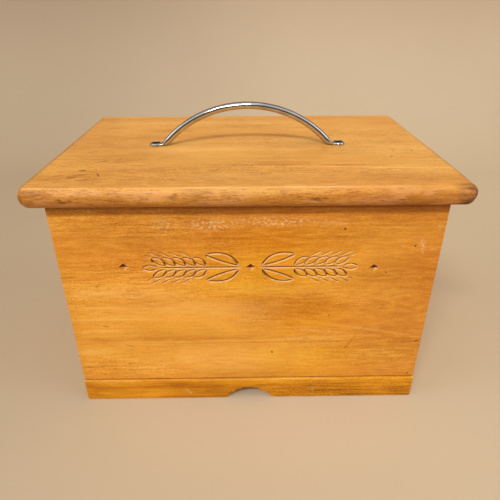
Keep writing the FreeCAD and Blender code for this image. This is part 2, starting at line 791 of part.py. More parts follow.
def make_eye_disc():
    """The round eye at the rod's right end, with bevelled rims."""
    disc = turned("Cylinder", "eye_disc", "dims.eye_thick", ("dims.eye_radius",))
    doc.recompute()
    eye = doc.addObject("Part::Chamfer", "eye_bevelled")
    eye.Base = disc
    rims = [
        number
        for number, edge in enumerate(disc.Shape.Edges, start=1)
        if isinstance(edge.Curve, Part.Circle)
    ]
    eye.Edges = [(rim, value("dims.eye_bevel"), value("dims.eye_bevel")) for rim in rims]
    placed(eye, (EYE_PLACE, "0", "0"), DRIVEN_UP)
    return eye


def make_eye_hole(hand):
    """The countersunk hole of one eye, with room above it for a screwdriver."""
    name = f"{HAND_NAMES[hand]}_eye"
    shank = "(dims.handle_screw_radius + dims.hole_play)"
    head = "(dims.handle_screw_head_radius + dims.hole_play)"
    sink = f"({head} - {shank})"
    hole = doc.addObject("Part::MultiFuse", f"{name}_hole")
    hole.Shapes = [
        turned("Cylinder", f"{name}_bore", "dims.eye_thick + 2 * dims.cut_margin", (shank,),
               "-dims.cut_margin"),
        turned("Cone", f"{name}_sink", sink, (shank, head), f"dims.eye_thick - {sink}"),
        turned("Cylinder", f"{name}_room", "2 * dims.rod_radius", (head,), "dims.eye_thick"),
    ]
    placed(hole, (f"{hand} * {EYE_PLACE}", "0", "0"), DRIVEN_UP)
    return hole


def mirror_to_left(item):
    mirrored = doc.addObject("Part::Mirroring", f"{item.Name}_left")
    mirrored.Source = item
    mirrored.Normal = Vector(1, 0, 0)
    return mirrored


def make_handle():
    """Bow handle: a round rod swept along a bow, lofted flat into a countersunk eye at each end."""
    bend = "(dims.handle_span / 2 - dims.foot_reach)"
    drop = "(dims.handle_rise - dims.rod_radius)"
    radius, across, upward = eased_arch(bend, drop, "dims.foot_bend")
    line = doc.addObject("Sketcher::SketchObject", "handle_line")
    line.Placement.Rotation = Rotation(Vector(1, 0, 0), 90)
    line.setExpression("Placement.Base.z", "dims.rod_radius")
    outline(
        line,
        [
            (f"-{bend}", "0", "dims.foot_bend", 1),
            (f"-{across}", upward, radius, -1),
            (across, upward, "dims.foot_bend", 1),
            (bend, "0"),
        ],
        closed=False,
    )
    section = doc.addObject("Part::Circle", "rod_section")
    section.setExpression("Radius", "dims.rod_radius")
    placed(section, (f"-{bend}", "0", "dims.rod_radius"), ACROSS_ROD)
    rod = doc.addObject("Part::Sweep", "handle_rod")
    rod.Sections = [section]
    rod.Spine = (line, ["Edge1", "Edge2", "Edge3"])
    rod.Solid = True

    right_end = [make_foot_flattening(bend), make_eye_disc()]
    blank = doc.addObject("Part::MultiFuse", "handle_blank")
    blank.Shapes = [rod] + right_end + [mirror_to_left(item) for item in right_end]
    holes = doc.addObject("Part::MultiFuse", "eye_holes")
    holes.Shapes = [make_eye_hole(hand) for hand in HAND_NAMES]
    node = doc.addObject("Part::Cut", "handle")
    node.Base = blank
    node.Tool = holes
    placed(node, ("0", HANDLE_LINE, LID_TOP), DRIVEN_UP)
    nodes.append(node)


def make_handle_screws():
    group("handle_screws", [
        wood_screw(
            f"handle_screw_{HAND_NAMES[hand]}",
            (f"{hand} * {EYE_PLACE}", HANDLE_LINE, f"{LID_TOP} + dims.eye_thick"),
            DRIVEN_DOWN,
            "dims.handle_screw_head_radius", "dims.handle_screw_radius",
            "dims.handle_screw_length",
        )
        for hand in HAND_NAMES
    ])


# ---------------------------------------------------------------- build, check and export


def check():
    """Stop if any object failed or any node is not valid, closed solids."""
    for item in doc.Objects:
        if "Invalid" in item.State or "Error" in item.State:
            raise RuntimeError(f"{item.Name}: {item.State}")
    for node in nodes:
        shape = node.Shape
        if shape.isNull() or not shape.isValid() or not shape.Solids:
            raise RuntimeError(f"{node.Label}: bad shape")


make_front_panel()
for side in HAND_NAMES:
    make_side(side)
    make_runner(side)
make_back_panel()
make_floor_panel()
make_runner_brads()
make_back_brads()

make_drawer_front()
make_drawer_plugs()
make_drawer_screws()
make_drawer_rail()
for side in HAND_NAMES:
    make_drawer_side(side)
make_drawer_back()
make_drawer_bottom()

make_lid_board()
for side in HAND_NAMES:
    make_batten(side)
make_batten_screws()
make_handle()
make_handle_screws()

doc.recompute()
check()
os.makedirs("parts", exist_ok=True)
for node in nodes:
    node.Shape.exportStep(f"parts/{node.Label}.step")
    print(f"{node.Label}: {len(node.Shape.Solids)} solid(s), {node.Shape.Volume:.1f} mm3")
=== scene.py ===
"""Looks of the pine bread box: carved front, nosed lid, chrome bow handle and drawer strip.

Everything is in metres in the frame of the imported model: x across, y to the back, z up.
"""

import math

import bmesh
import bpy
import numpy as np
from mathutils import Matrix, Vector, noise


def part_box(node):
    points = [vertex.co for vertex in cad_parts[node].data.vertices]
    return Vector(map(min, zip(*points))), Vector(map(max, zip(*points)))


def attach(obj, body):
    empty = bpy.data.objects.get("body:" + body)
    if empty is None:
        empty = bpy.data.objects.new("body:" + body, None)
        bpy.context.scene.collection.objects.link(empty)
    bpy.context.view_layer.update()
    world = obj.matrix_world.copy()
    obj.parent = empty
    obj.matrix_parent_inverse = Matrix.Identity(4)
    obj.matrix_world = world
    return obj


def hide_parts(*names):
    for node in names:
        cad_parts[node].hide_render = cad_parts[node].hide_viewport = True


MM = 0.001
CASE, LID = "case", "lid"

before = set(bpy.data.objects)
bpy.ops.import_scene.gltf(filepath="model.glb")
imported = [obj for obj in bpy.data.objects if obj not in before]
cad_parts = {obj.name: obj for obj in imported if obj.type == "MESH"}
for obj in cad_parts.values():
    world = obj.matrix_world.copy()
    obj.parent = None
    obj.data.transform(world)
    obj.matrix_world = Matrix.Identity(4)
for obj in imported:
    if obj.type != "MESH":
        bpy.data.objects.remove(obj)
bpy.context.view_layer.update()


def rgb(red, green, blue):
    """A colour from screen values of 0 to 255 as the linear numbers that shaders take."""

    def linear(value):
        value /= 255
        return value / 12.92 if value <= 0.04045 else ((value + 0.055) / 1.055) ** 2.4

    return (linear(red), linear(green), linear(blue), 1)


# -------------------- shader helpers


def link(tree, socket, value):
    """Joins a socket to another socket, or sets it to a plain value."""
    if isinstance(value, bpy.types.NodeSocket):
        tree.links.new(value, socket)
    else:
        socket.default_value = value


def node(tree, kind, inputs=None, **settings):
    """A new shader node with its settings and its inputs by name or number."""
    made = tree.nodes.new("ShaderNode" + kind)
    for key, value in settings.items():
        setattr(made, key, value)
    for key, value in (inputs or {}).items():
        link(tree, made.inputs[key], value)
    return made


def maths(tree, operation, first, second=0.0):
    return node(tree, "Math", {0: first, 1: second}, operation=operation).outputs[0]


def times(tree, first, second):
    return maths(tree, "MULTIPLY", first, second)


def total(tree, start, *terms):
    """A start value plus each layer times its share."""
    for layer, share in terms:
        start = maths(tree, "ADD", start, times(tree, layer, share))
    return start


def vector(tree, operation, first, second=(0, 0, 0)):
    made = node(tree, "VectorMath", {0: first, 1: second}, operation=operation)
    return made.outputs["Value" if operation in ("LENGTH", "DOT_PRODUCT") else "Vector"]


def parts_of(tree, place):
    """The X, Y and Z sockets of a vector."""
    return node(tree, "SeparateXYZ", {0: place}).outputs


def object_place(tree):
    return node(tree, "TexCoord").outputs["Object"]


def attribute(tree, name):
    """A value that the mesh holds at each of its points."""
    return node(tree, "Attribute", attribute_name=name).outputs["Fac"]


def blend(tree, factor, first, second, kind="MIX"):
    """A mix of two colours. Sockets 0, 6 and 7 are a Mix node's factor and its two colours."""
    inputs = {0: factor, 6: first, 7: second}
    return node(tree, "Mix", inputs, data_type="RGBA", blend_type=kind).outputs[2]


def span(tree, value, low, high, start=0.0, end=1.0):
    """Low to high becomes start to end, eased and held at both ends."""
    inputs = {0: value, 1: low, 2: high, 3: start, 4: end}
    return node(tree, "MapRange", inputs, interpolation_type="SMOOTHSTEP").outputs[0]


def ramp(tree, value, stops):
    made = node(tree, "ValToRGB", {0: value})
    points = made.color_ramp.elements
    points[0].position, points[0].color = stops[0]
    points[1].position, points[1].color = stops[-1]
    for place, colour in stops[1:-1]:
        points.new(place).color = colour
    return made.outputs[0]


def grainy(tree, place, scale, detail=2.0, rough=0.5):
    """Noise with its own scale on each axis, in cycles per metre, from 0 to 1."""
    moved = vector(tree, "MULTIPLY", place, scale)
    inputs = {"Vector": moved, "Scale": 1.0, "Detail": detail, "Roughness": rough}
    return node(tree, "TexNoise", inputs).outputs["Fac"]


def noise_mask(tree, place, layer, bounds):
    """Noise as a mask. layer and bounds are what grainy and span take after the place."""
    return span(tree, grainy(tree, place, *layer), *bounds)


def bumped(tree, shader, height, strength, distance):
    """Makes a height show as relief on the surface."""
    made = node(tree, "Bump", {"Height": height, "Strength": strength, "Distance": distance})
    link(tree, shader.inputs["Normal"], made.outputs[0])


def new_object(name, data):
    """An object in the scene."""
    made = bpy.data.objects.new(name, data)
    bpy.context.scene.collection.objects.link(made)
    return made


def new_material(name):
    material = bpy.data.materials.new(name)
    material.use_nodes = True
    tree = material.node_tree
    return material, tree, tree.nodes["Principled BSDF"]


# -------------------- wood

# Screen colours from the darkest line of the grain to the palest, and where they lie in the tone.
AMBER = ((146, 88, 26), (214, 142, 44), (237, 168, 62), (250, 205, 118))
TAN = ((146, 88, 38), (214, 149, 62), (231, 170, 80), (241, 191, 106))
HONEY = ((124, 70, 4), (192, 122, 10), (222, 152, 28), (244, 184, 64))
RAW = ((158, 116, 70), (206, 168, 116), (222, 188, 138), (236, 208, 164))
PLY = ((150, 104, 62), (196, 150, 98), (212, 170, 118), (226, 190, 142))
TONE_PLACES = 0.0, 0.38, 0.62, 1.0

# Tints over the grain. REDDER, SHADE, YELLOW, NOSE_DULL_AND_SHADE and CUT_SHADE are multiplied in.
REDDER = rgb(250, 226, 205)
SHADE = rgb(206, 170, 140)
YELLOW = rgb(255, 252, 150)
PALE = rgb(250, 196, 110)
GREASE = rgb(126, 80, 38)
# A dark tint for real dents, nicks and dirt, also used for painted shadow where a mark table holds
# it.
DIRT_AND_SHADE, DIRT_AND_SHADE_COVER = rgb(84, 42, 12), 0.85
SCUFF, SCUFF_COVER = rgb(246, 216, 160), 0.8
# The nosing's tint, deeper lower down: partly the worn nosing's duller colour, partly painted
# shade.
NOSE_DULL_AND_SHADE = rgb(230, 218, 196)
NOSE_BLOTCH = rgb(228, 166, 108)
NOSE_NICK = rgb(150, 84, 28)
# A pale tint painted along the lid's front crease as a highlight.
CREASE_HIGHLIGHT, CREASE_HIGHLIGHT_COVER = rgb(252, 206, 146), 0.5
# The carving's tints: the pale one is a painted highlight on the lower slopes; the dark one is
# painted shade on the overhanging slopes and also darkens the bottoms of the cuts.
CUT_HIGHLIGHT = rgb(244, 188, 134)
CUT_SHADE = rgb(92, 50, 24)

# Noise: cycles per metre along the grain, across it and through the board, detail, roughness.
BEND = (2.6, 11, 11), 2
SMALL_BEND = (14, 50, 50), 2
BANDS = (1.8, 26, 26), 3, 0.55
CLOUDS = (9, 22, 22), 3, 0.6
STREAKS = (20, 400, 400), 4, 0.6
FIBRES = (60, 1500, 1500), 2, 0.6
SPECKLE = (420, 900, 900), 2, 0.6
FLECKS = (150, 900, 900), 2, 0.5
PATCHES = (5, 12, 12), 2, 0.5
LIVELY = (4, 16, 16), 2, 0.5
UNEVEN = (60, 240, 240), 3, 0.6
BLOTCHES = (26, 110, 110), 3, 0.6
NICKS = (110, 620, 620), 3, 0.65
SPECKS = (300, 300, 400), 4, 0.7  # in the world's axes
RAGGED_EDGE, RAGGED_BY = (900, 900, 900), 0.6

# Where a mask starts and is whole in its noise or value, then its weakest and strongest.
FLECK_SPAN = 0.62, 0.74
LIVELY_SPAN = 0.36, 0.64, 0.55, 1.35
REDDER_SPAN = 0.38, 0.68
UNEVEN_SPAN = 0.34, 0.6, 0.45, 1.25
SPECK_SPAN = 0.49, 0.6, 0.06
NOSE_SPAN = 0.02, 0.3
BLOTCH_SPAN = 0.45, 0.62, 0.0, 0.4
NICK_SPAN = 0.54, 0.68, 0.0, 0.7
OVERHANG_SPAN = -0.3, 0.2, 0.1, 1.0
LIT_SLOPE_SPAN = -0.5, -0.1, 0.4, 0.0
CUT_BOTTOM_COVER = 0.8

RING = 4.2 * MM  # width of a year
BEND_ACROSS, BEND_THROUGH, SMALL_BEND_ACROSS = 60 * MM, 30 * MM, 4 * MM
DRIFT_SCALE, DRIFT_YEARS = 0.35, 2.5  # how the years' widths drift
LATE_GREYS = ((0, 0), (0.5, 0.12), (0.86, 1), (0.93, 0.7), (1, 0))  # in the course of a year
LATE_LEAST = 0.1  # how dark the palest late line is
SEED_SHIFT = 0.731, 0.377, 0.559
SHADED_WAY = (0.7, 0, -1)  # cuts that face this way, down and to the right, away from the key light, get painted shade
WOOD_SPECULAR, COAT_ROUGH = 0.24, 0.28
WOOD_BUMP, WOOD_RELIEF = 0.35, 0.25 * MM
SHARP, SOFT = (1.35, 0.8), (1.9, 0.5)  # where a mark ends and where it is whole, in its own radii
ENDLESS = 1e4  # a mark's reach into the board, in mm


def mark_group(name, edges):
    """A node group: 1 inside a ragged spot on a board, 0 outside it."""
    tree = bpy.data.node_groups.new(name, "ShaderNodeTree")
    for socket in ("Place", "Middle", "Turn", "Size"):
        tree.interface.new_socket(name=socket, in_out="INPUT", socket_type="NodeSocketVector")
    tree.interface.new_socket(name="Mask", in_out="OUTPUT", socket_type="NodeSocketFloat")
    given = tree.nodes.new("NodeGroupInput").outputs
    away = vector(tree, "SUBTRACT", given["Place"], given["Middle"])
    turned = node(
        tree, "VectorRotate", {"Vector": away, "Rotation": given["Turn"]},
        rotation_type="EULER_XYZ",
    ).outputs[0]
    reach = vector(tree, "LENGTH", vector(tree, "DIVIDE", turned, given["Size"]))
    edge = total(tree, reach, (grainy(tree, given["Place"], RAGGED_EDGE), RAGGED_BY))
    result = tree.nodes.new("NodeGroupOutput")
    tree.links.new(span(tree, edge, *edges), result.inputs["Mask"])
    return tree


MARK_GROUPS = {SHARP: mark_group("mark", SHARP), SOFT: mark_group("soft_mark", SOFT)}


def marked(tree, place, marks, across, edges=SHARP):
    """The strongest of many marks: (x, other, length, width, degrees, strength) in mm.

    across is the world axis of the second number, "y" or "z".
    """
    strongest = 0.0
    for x, other, length, width, degrees, strength in marks:
        if across == "z":
            middle, turn, size = (x, 0, other), (0, 1, 0), (length / 2, ENDLESS, width / 2)
        else:
            middle, turn, size = (x, other, 0), (0, 0, -1), (length / 2, width / 2, ENDLESS)
        made = node(tree, "Group", node_tree=MARK_GROUPS[edges], inputs={
            "Place": place,
            "Middle": [value * MM for value in middle],
            "Turn": [value * math.radians(degrees) for value in turn],
            "Size": [value * MM for value in size],
        })
        mask = times(tree, made.outputs[0], strength)
        strongest = maths(tree, "MAXIMUM", strongest, mask)
    return strongest


def late_lines(tree, own, across, through, heart):
    """Late wood: the distance from the heart, bent by slow noise, ends each year in a thin line."""
    bend = maths(tree, "SUBTRACT", grainy(tree, own, *BEND), 0.5)
    small_bend = maths(tree, "SUBTRACT", grainy(tree, own, *SMALL_BEND), 0.5)
    sideways = maths(tree, "ADD", across, -heart[0])
    sideways = total(tree, sideways, (bend, BEND_ACROSS), (small_bend, SMALL_BEND_ACROSS))
    deep = total(tree, maths(tree, "ADD", through, -heart[1]), (bend, BEND_THROUGH))
    radius = vector(tree, "LENGTH", node(tree, "CombineXYZ", {0: sideways, 1: deep}).outputs[0])
    years = times(tree, radius, 1 / RING)
    drift = node(tree, "TexNoise", {"W": years, "Scale": DRIFT_SCALE},
                 noise_dimensions="1D")
    years = total(tree, years, (drift.outputs["Fac"], DRIFT_YEARS))
    late = ramp(tree, maths(tree, "FRACT", years), tuple(
        (place, (grey, grey, grey, 1)) for place, grey in LATE_GREYS))
    which = node(tree, "TexWhiteNoise", {"W": maths(tree, "FLOOR", years)},
                 noise_dimensions="1D").outputs["Value"]
    return times(tree, late, total(tree, LATE_LEAST, (which, 1 - LATE_LEAST)))


def stretched(layer, stretch):
    """A layer of noise with more cycles along the grain."""
    (along, across, through), detail, rough = layer
    return (along * stretch, across, through), detail, rough


def nose_wear_and_painted_light(tree, own, colour, edge):
    """Dulls the lid's nosing, partly with painted shade that deepens lower down, with pale
    blotches, dark nicks and a painted highlight along its front crease.
    """
    colour = blend(tree, edge, colour, NOSE_DULL_AND_SHADE, "MULTIPLY")
    nose = span(tree, edge, *NOSE_SPAN)
    blotches = times(tree, nose, noise_mask(tree, own, BLOTCHES, BLOTCH_SPAN))
    nicks = times(tree, nose, noise_mask(tree, own, NICKS, NICK_SPAN))
    colour = blend(tree, blotches, colour, NOSE_BLOTCH)
    colour = blend(tree, nicks, colour, NOSE_NICK)
    crease = times(tree, attribute(tree, "crease"), CREASE_HIGHLIGHT_COVER)
    return blend(tree, crease, colour, CREASE_HIGHLIGHT)


def paint_cut_shading(tree, place, colour, slopes, bottoms):
    """Painted shade on the slopes that overhang, away from the key light, darker bottoms in the
    cuts, and a painted highlight on the lower slopes.

    slopes and bottoms are the pairs of depths where their darkening starts and is whole.
    """
    depth = parts_of(tree, place)["Y"]
    normal = node(tree, "NewGeometry").outputs["Normal"]
    facing = vector(tree, "DOT_PRODUCT", normal, SHADED_WAY)
    overhang = span(tree, facing, *OVERHANG_SPAN)
    slope = times(tree, span(tree, depth, *slopes), overhang)
    bottom = span(tree, depth, *bottoms, 0.0, CUT_BOTTOM_COVER)
    colour = blend(tree, span(tree, facing, *LIT_SLOPE_SPAN), colour, CUT_HIGHLIGHT)
    return blend(tree, maths(tree, "MAXIMUM", slope, bottom), colour, CUT_SHADE, "MULTIPLY")


def wood(
    name, colours, axes, heart, seed, marks=(), marks_across="z", scuffs=(), patched=(), red=0.5,
    contrast=1.0, mottle=1.0, stretch=1.0, pores=0.6, calm=None, lid_wear_and_light=False, dark=None,
    rough=0.4, coat=0.12,
):
    """Solid wood.

    axes names the world axes along the grain, across it and through the board, and heart is
    where the tree's middle lies across and through. marks and scuffs are tables for marked, and
    each of patched is such a table, a tint and the kind of blend. red is the strength of the
    redder patches, contrast that of the fine grain, mottle that of the slow bands and clouds and
    pores that of the dark flecks. A greater stretch makes shorter streaks. calm says from where
    to where along the board the fine grain changes, and its strength at both ends.
    lid_wear_and_light is for the lid, whose mesh says where it is worn, where its nosing gets
    painted shade and where its front crease gets a painted highlight. dark holds the depths for
    paint_cut_shading, which paints shade and highlight into the cuts.
    """
    material, tree, shader = new_material(name)
    place = object_place(tree)
    split = parts_of(tree, place)
    along, across, through = (split[axis.upper()] for axis in axes)
    own = node(tree, "CombineXYZ", {0: along, 1: across, 2: through}).outputs[0]
    own = vector(tree, "ADD", own, [seed * shift for shift in SEED_SHIFT])

    late = late_lines(tree, own, across, through, heart)
    bands, clouds = grainy(tree, own, *BANDS), grainy(tree, own, *CLOUDS)
    streaks = grainy(tree, own, *stretched(STREAKS, stretch))
    fibres = grainy(tree, own, *stretched(FIBRES, stretch))
    speckle = grainy(tree, own, *SPECKLE)
    flecks = noise_mask(tree, own, FLECKS, FLECK_SPAN)
    patches = grainy(tree, own, *PATCHES)
    lively = noise_mask(tree, own, LIVELY, LIVELY_SPAN)
    if calm:
        lively = times(tree, lively, span(tree, along, *calm))
    tone = 0.5
    for layer, middle, strength, share in (
        (bands, 0.5, 0.7 * mottle, 1), (clouds, 0.5, 0.8 * mottle, 1),
        (streaks, 0.5, 1.1 * contrast, lively), (fibres, 0.5, 0.6 * contrast, lively),
        (speckle, 0.5, 0.9 * contrast, lively), (late, 0.1, -0.2 * contrast, lively),
        (flecks, 0.04, -pores * contrast, lively),
    ):
        moved = times(tree, maths(tree, "SUBTRACT", layer, middle), strength)
        tone = total(tree, tone, (moved, share))

    screen = [rgb(*colour) for colour in colours]
    colour = ramp(tree, tone, tuple(zip(TONE_PLACES, screen)))
    redder = span(tree, patches, *REDDER_SPAN, 0.0, red)
    colour = blend(tree, redder, colour, REDDER, "MULTIPLY")
    uneven = noise_mask(tree, own, UNEVEN, UNEVEN_SPAN)
    for spots, tint, kind in patched:
        patch = marked(tree, place, spots, marks_across, SOFT)
        colour = blend(tree, times(tree, patch, uneven), colour, tint, kind)
    # Dark marks: real dents, nicks and dirt, and painted shadow where a mark table holds it.
    damage_and_shade = marked(tree, place, marks, marks_across)
    if lid_wear_and_light:
        damage_and_shade = maths(tree, "MAXIMUM", damage_and_shade, attribute(tree, "grime"))
    if marks or lid_wear_and_light:
        colour = blend(tree, times(tree, damage_and_shade, DIRT_AND_SHADE_COVER), colour, DIRT_AND_SHADE)
    rubbed = 0.0
    if scuffs:
        specks = noise_mask(tree, place, SPECKS, SPECK_SPAN)
        rubbed = times(tree, marked(tree, place, scuffs, marks_across, SOFT), specks)
        colour = blend(tree, times(tree, rubbed, SCUFF_COVER), colour, SCUFF)
    gloss = total(tree, rough - 0.08, (patches, 0.16), (streaks, 0.10), (rubbed, 0.2))
    if lid_wear_and_light:
        edge = attribute(tree, "edge")
        colour = nose_wear_and_painted_light(tree, own, colour, edge)
        gloss = total(tree, gloss, (edge, 0.3))
    if dark:
        colour = paint_cut_shading(tree, place, colour, *dark)
    link(tree, shader.inputs["Base Color"], colour)
    link(tree, shader.inputs["Roughness"], gloss)
    shader.inputs["Specular IOR Level"].default_value = WOOD_SPECULAR
    shader.inputs["Coat Weight"].default_value = coat
    shader.inputs["Coat Roughness"].default_value = COAT_ROUGH
    height = total(tree, 0.0, (streaks, 0.5), (fibres, 0.25), (flecks, -0.5), (late, -0.2),
                   (damage_and_shade, -2.5))
    bumped(tree, shader, height, WOOD_BUMP, WOOD_RELIEF)
    return material


# -------------------- metal

SMEARS = (60, 60, 60), 3, 0.6
HAIR = (150, 2600, 2600), 3, 0.7
SMEAR_SPAN, SMEAR_DARK = (0.4, 0.75), 0.86
DARK_SPECULAR, BARE_SPECULAR = 0.15, 0.5
METAL_BUMP, METAL_RELIEF = 0.04, 0.03 * MM


def metal(name, colour, rough, scratch, bare=1):
    """Metal. bare is 1 for bright metal, plated or not, and 0 for a dark surface that is not
    metallic.
    """
    material, tree, shader = new_material(name)
    place = object_place(tree)
    smears, hair = grainy(tree, place, *SMEARS), grainy(tree, place, *HAIR)
    tint = blend(tree, span(tree, smears, *SMEAR_SPAN), rgb(*colour),
                 rgb(*[value * SMEAR_DARK for value in colour]))
    link(tree, shader.inputs["Base Color"], tint)
    shader.inputs["Metallic"].default_value = bare
    shader.inputs["Specular IOR Level"].default_value = BARE_SPECULAR if bare else DARK_SPECULAR
    link(tree, shader.inputs["Roughness"], total(tree, rough, (smears, scratch), (hair, scratch)))
    bumped(tree, shader, hair, METAL_BUMP, METAL_RELIEF)
    return material


# -------------------- meshes


def circle(count):
    """The cosine and sine of each of many even turns."""
    turns = [2 * math.pi * i / count for i in range(count)]
    return [(math.cos(turn), math.sin(turn)) for turn in turns]


def curve_points(points, count):
    """Points on a quadratic or straight stroke, as an array."""
    steps = np.linspace(0, 1, count)[:, None]
    points = [np.array(p, float) for p in points]
    if len(points) == 2:
        return points[0] * (1 - steps) + points[1] * steps
    first, middle, last = points
    return first * (1 - steps) ** 2 + middle * 2 * steps * (1 - steps) + last * steps**2


def ring_faces(a, b, count, inward=False):
    """The faces between two rings of points whose first points are a and b."""
    faces = []
    for j in range(count):
        k = (j + 1) % count
        faces.append((a + j, b + j, b + k, a + k) if inward else (a + j, a + k, b + k, b + j))
    return faces


def add_solid(bm, verts, faces):
    """Adds a solid to a bmesh."""
    made = [bm.verts.new(vert) for vert in verts]
    for face in faces:
        bm.faces.new([made[i] for i in face])


def mesh_of(bm, name):
    """Turns a bmesh of closed solids into a mesh."""
    bmesh.ops.recalc_face_normals(bm, faces=list(bm.faces))
    mesh = bpy.data.meshes.new(name)
    bm.to_mesh(mesh)
    bm.free()
    return mesh


def new_mesh(name, verts, faces):
    mesh = bpy.data.meshes.new(name)
    mesh.from_pydata([tuple(v) for v in verts], [], faces)
    mesh.update()
    return mesh


def finish_piece(mesh, name, body, replaces, material=None, smooth=30):
    """A piece that stands for CAD nodes. Without a material the mesh keeps its own.

    smooth is the sharpest angle, in degrees, that is shaded round.
    """
    made = new_object(name, mesh)
    if material:
        mesh.materials.clear()
        mesh.materials.append(material)
    mesh.shade_smooth()
    mesh.set_sharp_from_angle(angle=math.radians(smooth))
    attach(made, body)
    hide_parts(*replaces)
    return made


def eased_box(low, high, ease, segments):
    """A bmesh of a board with all its edges rounded."""
    bm = bmesh.new()
    bmesh.ops.create_cube(bm, size=1)
    middle, size = (low + high) / 2, high - low
    for vert in bm.verts:
        vert.co = Vector(c * s for c, s in zip(vert.co, size)) + middle
    bmesh.ops.bevel(
        bm, geom=list(bm.edges), offset=ease, segments=segments, profile=0.5, affect="EDGES",
    )
    return bm


def carved(base, cutter):
    """The base mesh with the cutter taken away."""
    made = [new_object(mesh.name, mesh) for mesh in (base, cutter)]
    cut = made[0].modifiers.new("cut", "BOOLEAN")
    cut.object, cut.solver, cut.operation, cut.use_self = made[1], "EXACT", "DIFFERENCE", True
    cut.material_mode = "TRANSFER"
    bpy.context.view_layer.update()
    result = bpy.data.meshes.new_from_object(
        made[0].evaluated_get(bpy.context.evaluated_depsgraph_get()))
    for item in made:
        bpy.data.objects.remove(item)
    return result


# -------------------- carved ornament

GROOVE_SLOPE = 0.95  # depth of a groove for each unit of its half width
GROOVE_POINTS = 14
# Depths where the painted shade starts and is whole on overhanging slopes, then where the bottoms
# of the cuts darken.
CARVING_SHADE = (-0.1 * MM, 0.3 * MM), (0.9 * MM, 1.3 * MM)
# From here on in mm, as places (across, up) in the plane of the front's face.
CHIP = 5.3, 4.4, 1.6  # a diamond's half width, half height and depth
STROKE, FINE_STROKE, THIN_STROKE = 1.5, 1.3, 0.95  # half widths of the grooves
POINT_LENGTH, POINT_FULLNESS = 1.2, 0.7  # a groove's pointed end: its length in half widths
PROUD = 0.35  # how far a cutter stands out of the face, as a share of its depth
TIP_OUT = 0.02  # how far a groove's two tips stand out of the face
ORNAMENT_MIDDLE = 1.5, 174.7
SIDE_DIAMONDS = (-122.6, 176.3), (122.9, 173)
# An ear lies along its stem from the middle. Leaves and grains: two ends, outer and inner bow.
EAR_RISE = 1.12  # all its heights are taken times this
STEM = (7, 0), (92, 0)
LEAF = (11, 1.6), (44, 13), (20, 18.5), (32, 6)
GRAIN = (1, 1.8), (15, 9.8), (3.5, 11.2), (12.5, 2.6)
GRAIN_START, GRAIN_PITCH, GRAIN_PAIRS = 42, 9.8, 5
AWN_FOOT, AWN_REACH, LAST_AWN_REACH = (16, 10.6), 11, 5  # awns rise at 1 in 2
LAST_GRAIN = (91, 0), (106, 0), (98, 5.4), (98, -5.4)


def groove(points, half_width):
    """A cutter of V section along a stroke, of even width with short points at both ends.

    It gives vertices (across, up, out of the face) and faces.
    """
    count = GROOVE_POINTS
    line, t = curve_points(points, count), np.linspace(0, 1, count)
    length = np.linalg.norm(np.diff(line, axis=0), axis=1).sum()
    end = min(0.5, POINT_LENGTH * half_width / length)
    widths = half_width * np.clip(np.minimum(t, 1 - t) / end, 0, 1) ** POINT_FULLNESS
    widths[0] = widths[-1] = 0
    forward = np.gradient(line, axis=0)
    forward /= np.linalg.norm(forward, axis=1)[:, None]
    side = np.stack([-forward[:, 1], forward[:, 0]], 1)
    verts, faces = [], []
    for i in range(1, count - 1):
        depth = widths[i] * GROOVE_SLOPE
        rise = depth * PROUD
        reach = widths[i] * (1 + PROUD)
        left, right = line[i] + side[i] * reach, line[i] - side[i] * reach
        verts += [(*left, rise), (*right, rise), (*line[i], -depth)]
    tail = len(verts)
    verts += [(*line[0], TIP_OUT), (*line[-1], TIP_OUT)]
    for i in range(count - 3):
        faces += ring_faces(i * 3, i * 3 + 3, 3)
    last = (count - 3) * 3
    for j in range(3):
        k = (j + 1) % 3
        faces += [(tail, k, j), (tail + 1, last + j, last + k)]
    return verts, faces


def chip(x, z, half_width, half_height, depth):
    """A cutter for a diamond of four slopes that meet in a point."""
    grow = 1 + PROUD
    rim = [(x - half_width * grow, z), (x, z + half_height * grow),
           (x + half_width * grow, z), (x, z - half_height * grow)]
    verts = [(*p, depth * PROUD) for p in rim] + [(x, z, -depth)]
    faces = [(0, 1, 2, 3)] + [(i, 4, (i + 1) % 4) for i in range(4)]
    return verts, faces


def husk(start, end, outer, inner, half_width):
    """Cutters for the outline of a leaf or grain: two bowed strokes that meet at its ends."""
    return [groove((start, bow, end), half_width) for bow in (outer, inner)]


def wheat_ear(hand, x0, z0):
    """Cutters for half of the ornament: a stem with two leaves, grains in pairs and awns."""
    def at(place, shift=0, up=1):
        return (x0 + hand * (shift + place[0]), z0 + EAR_RISE * (place[1] * up))

    cuts = [groove([at(place) for place in STEM], STROKE)]
    for up in (1, -1):
        cuts += husk(*[at(place, 0, up) for place in LEAF], STROKE)
        for step in range(GRAIN_PAIRS):
            x = GRAIN_START + step * GRAIN_PITCH
            cuts += husk(*[at(place, x, up) for place in GRAIN], FINE_STROKE)
            reach = AWN_REACH if step < GRAIN_PAIRS - 1 else LAST_AWN_REACH
            tip = (AWN_FOOT[0] + reach, AWN_FOOT[1] + reach / 2)
            cuts.append(groove((at(AWN_FOOT, x, up), at(tip, x, up)), THIN_STROKE))
    cuts += husk(*[at(place) for place in LAST_GRAIN], FINE_STROKE)
    return cuts


def carving_cutter(face_y):
    """One mesh of all the cuts in the front, standing in the face at y = face_y."""
    cuts = [chip(*place, *CHIP) for place in (ORNAMENT_MIDDLE, *SIDE_DIAMONDS)]
    for hand in (-1, 1):
        cuts += wheat_ear(hand, *ORNAMENT_MIDDLE)
    bm = bmesh.new()
    for verts, faces in cuts:
        add_solid(bm, [(x * MM, face_y - out * MM, z * MM) for x, z, out in verts], faces)
    return mesh_of(bm, "carving")


# -------------------- front

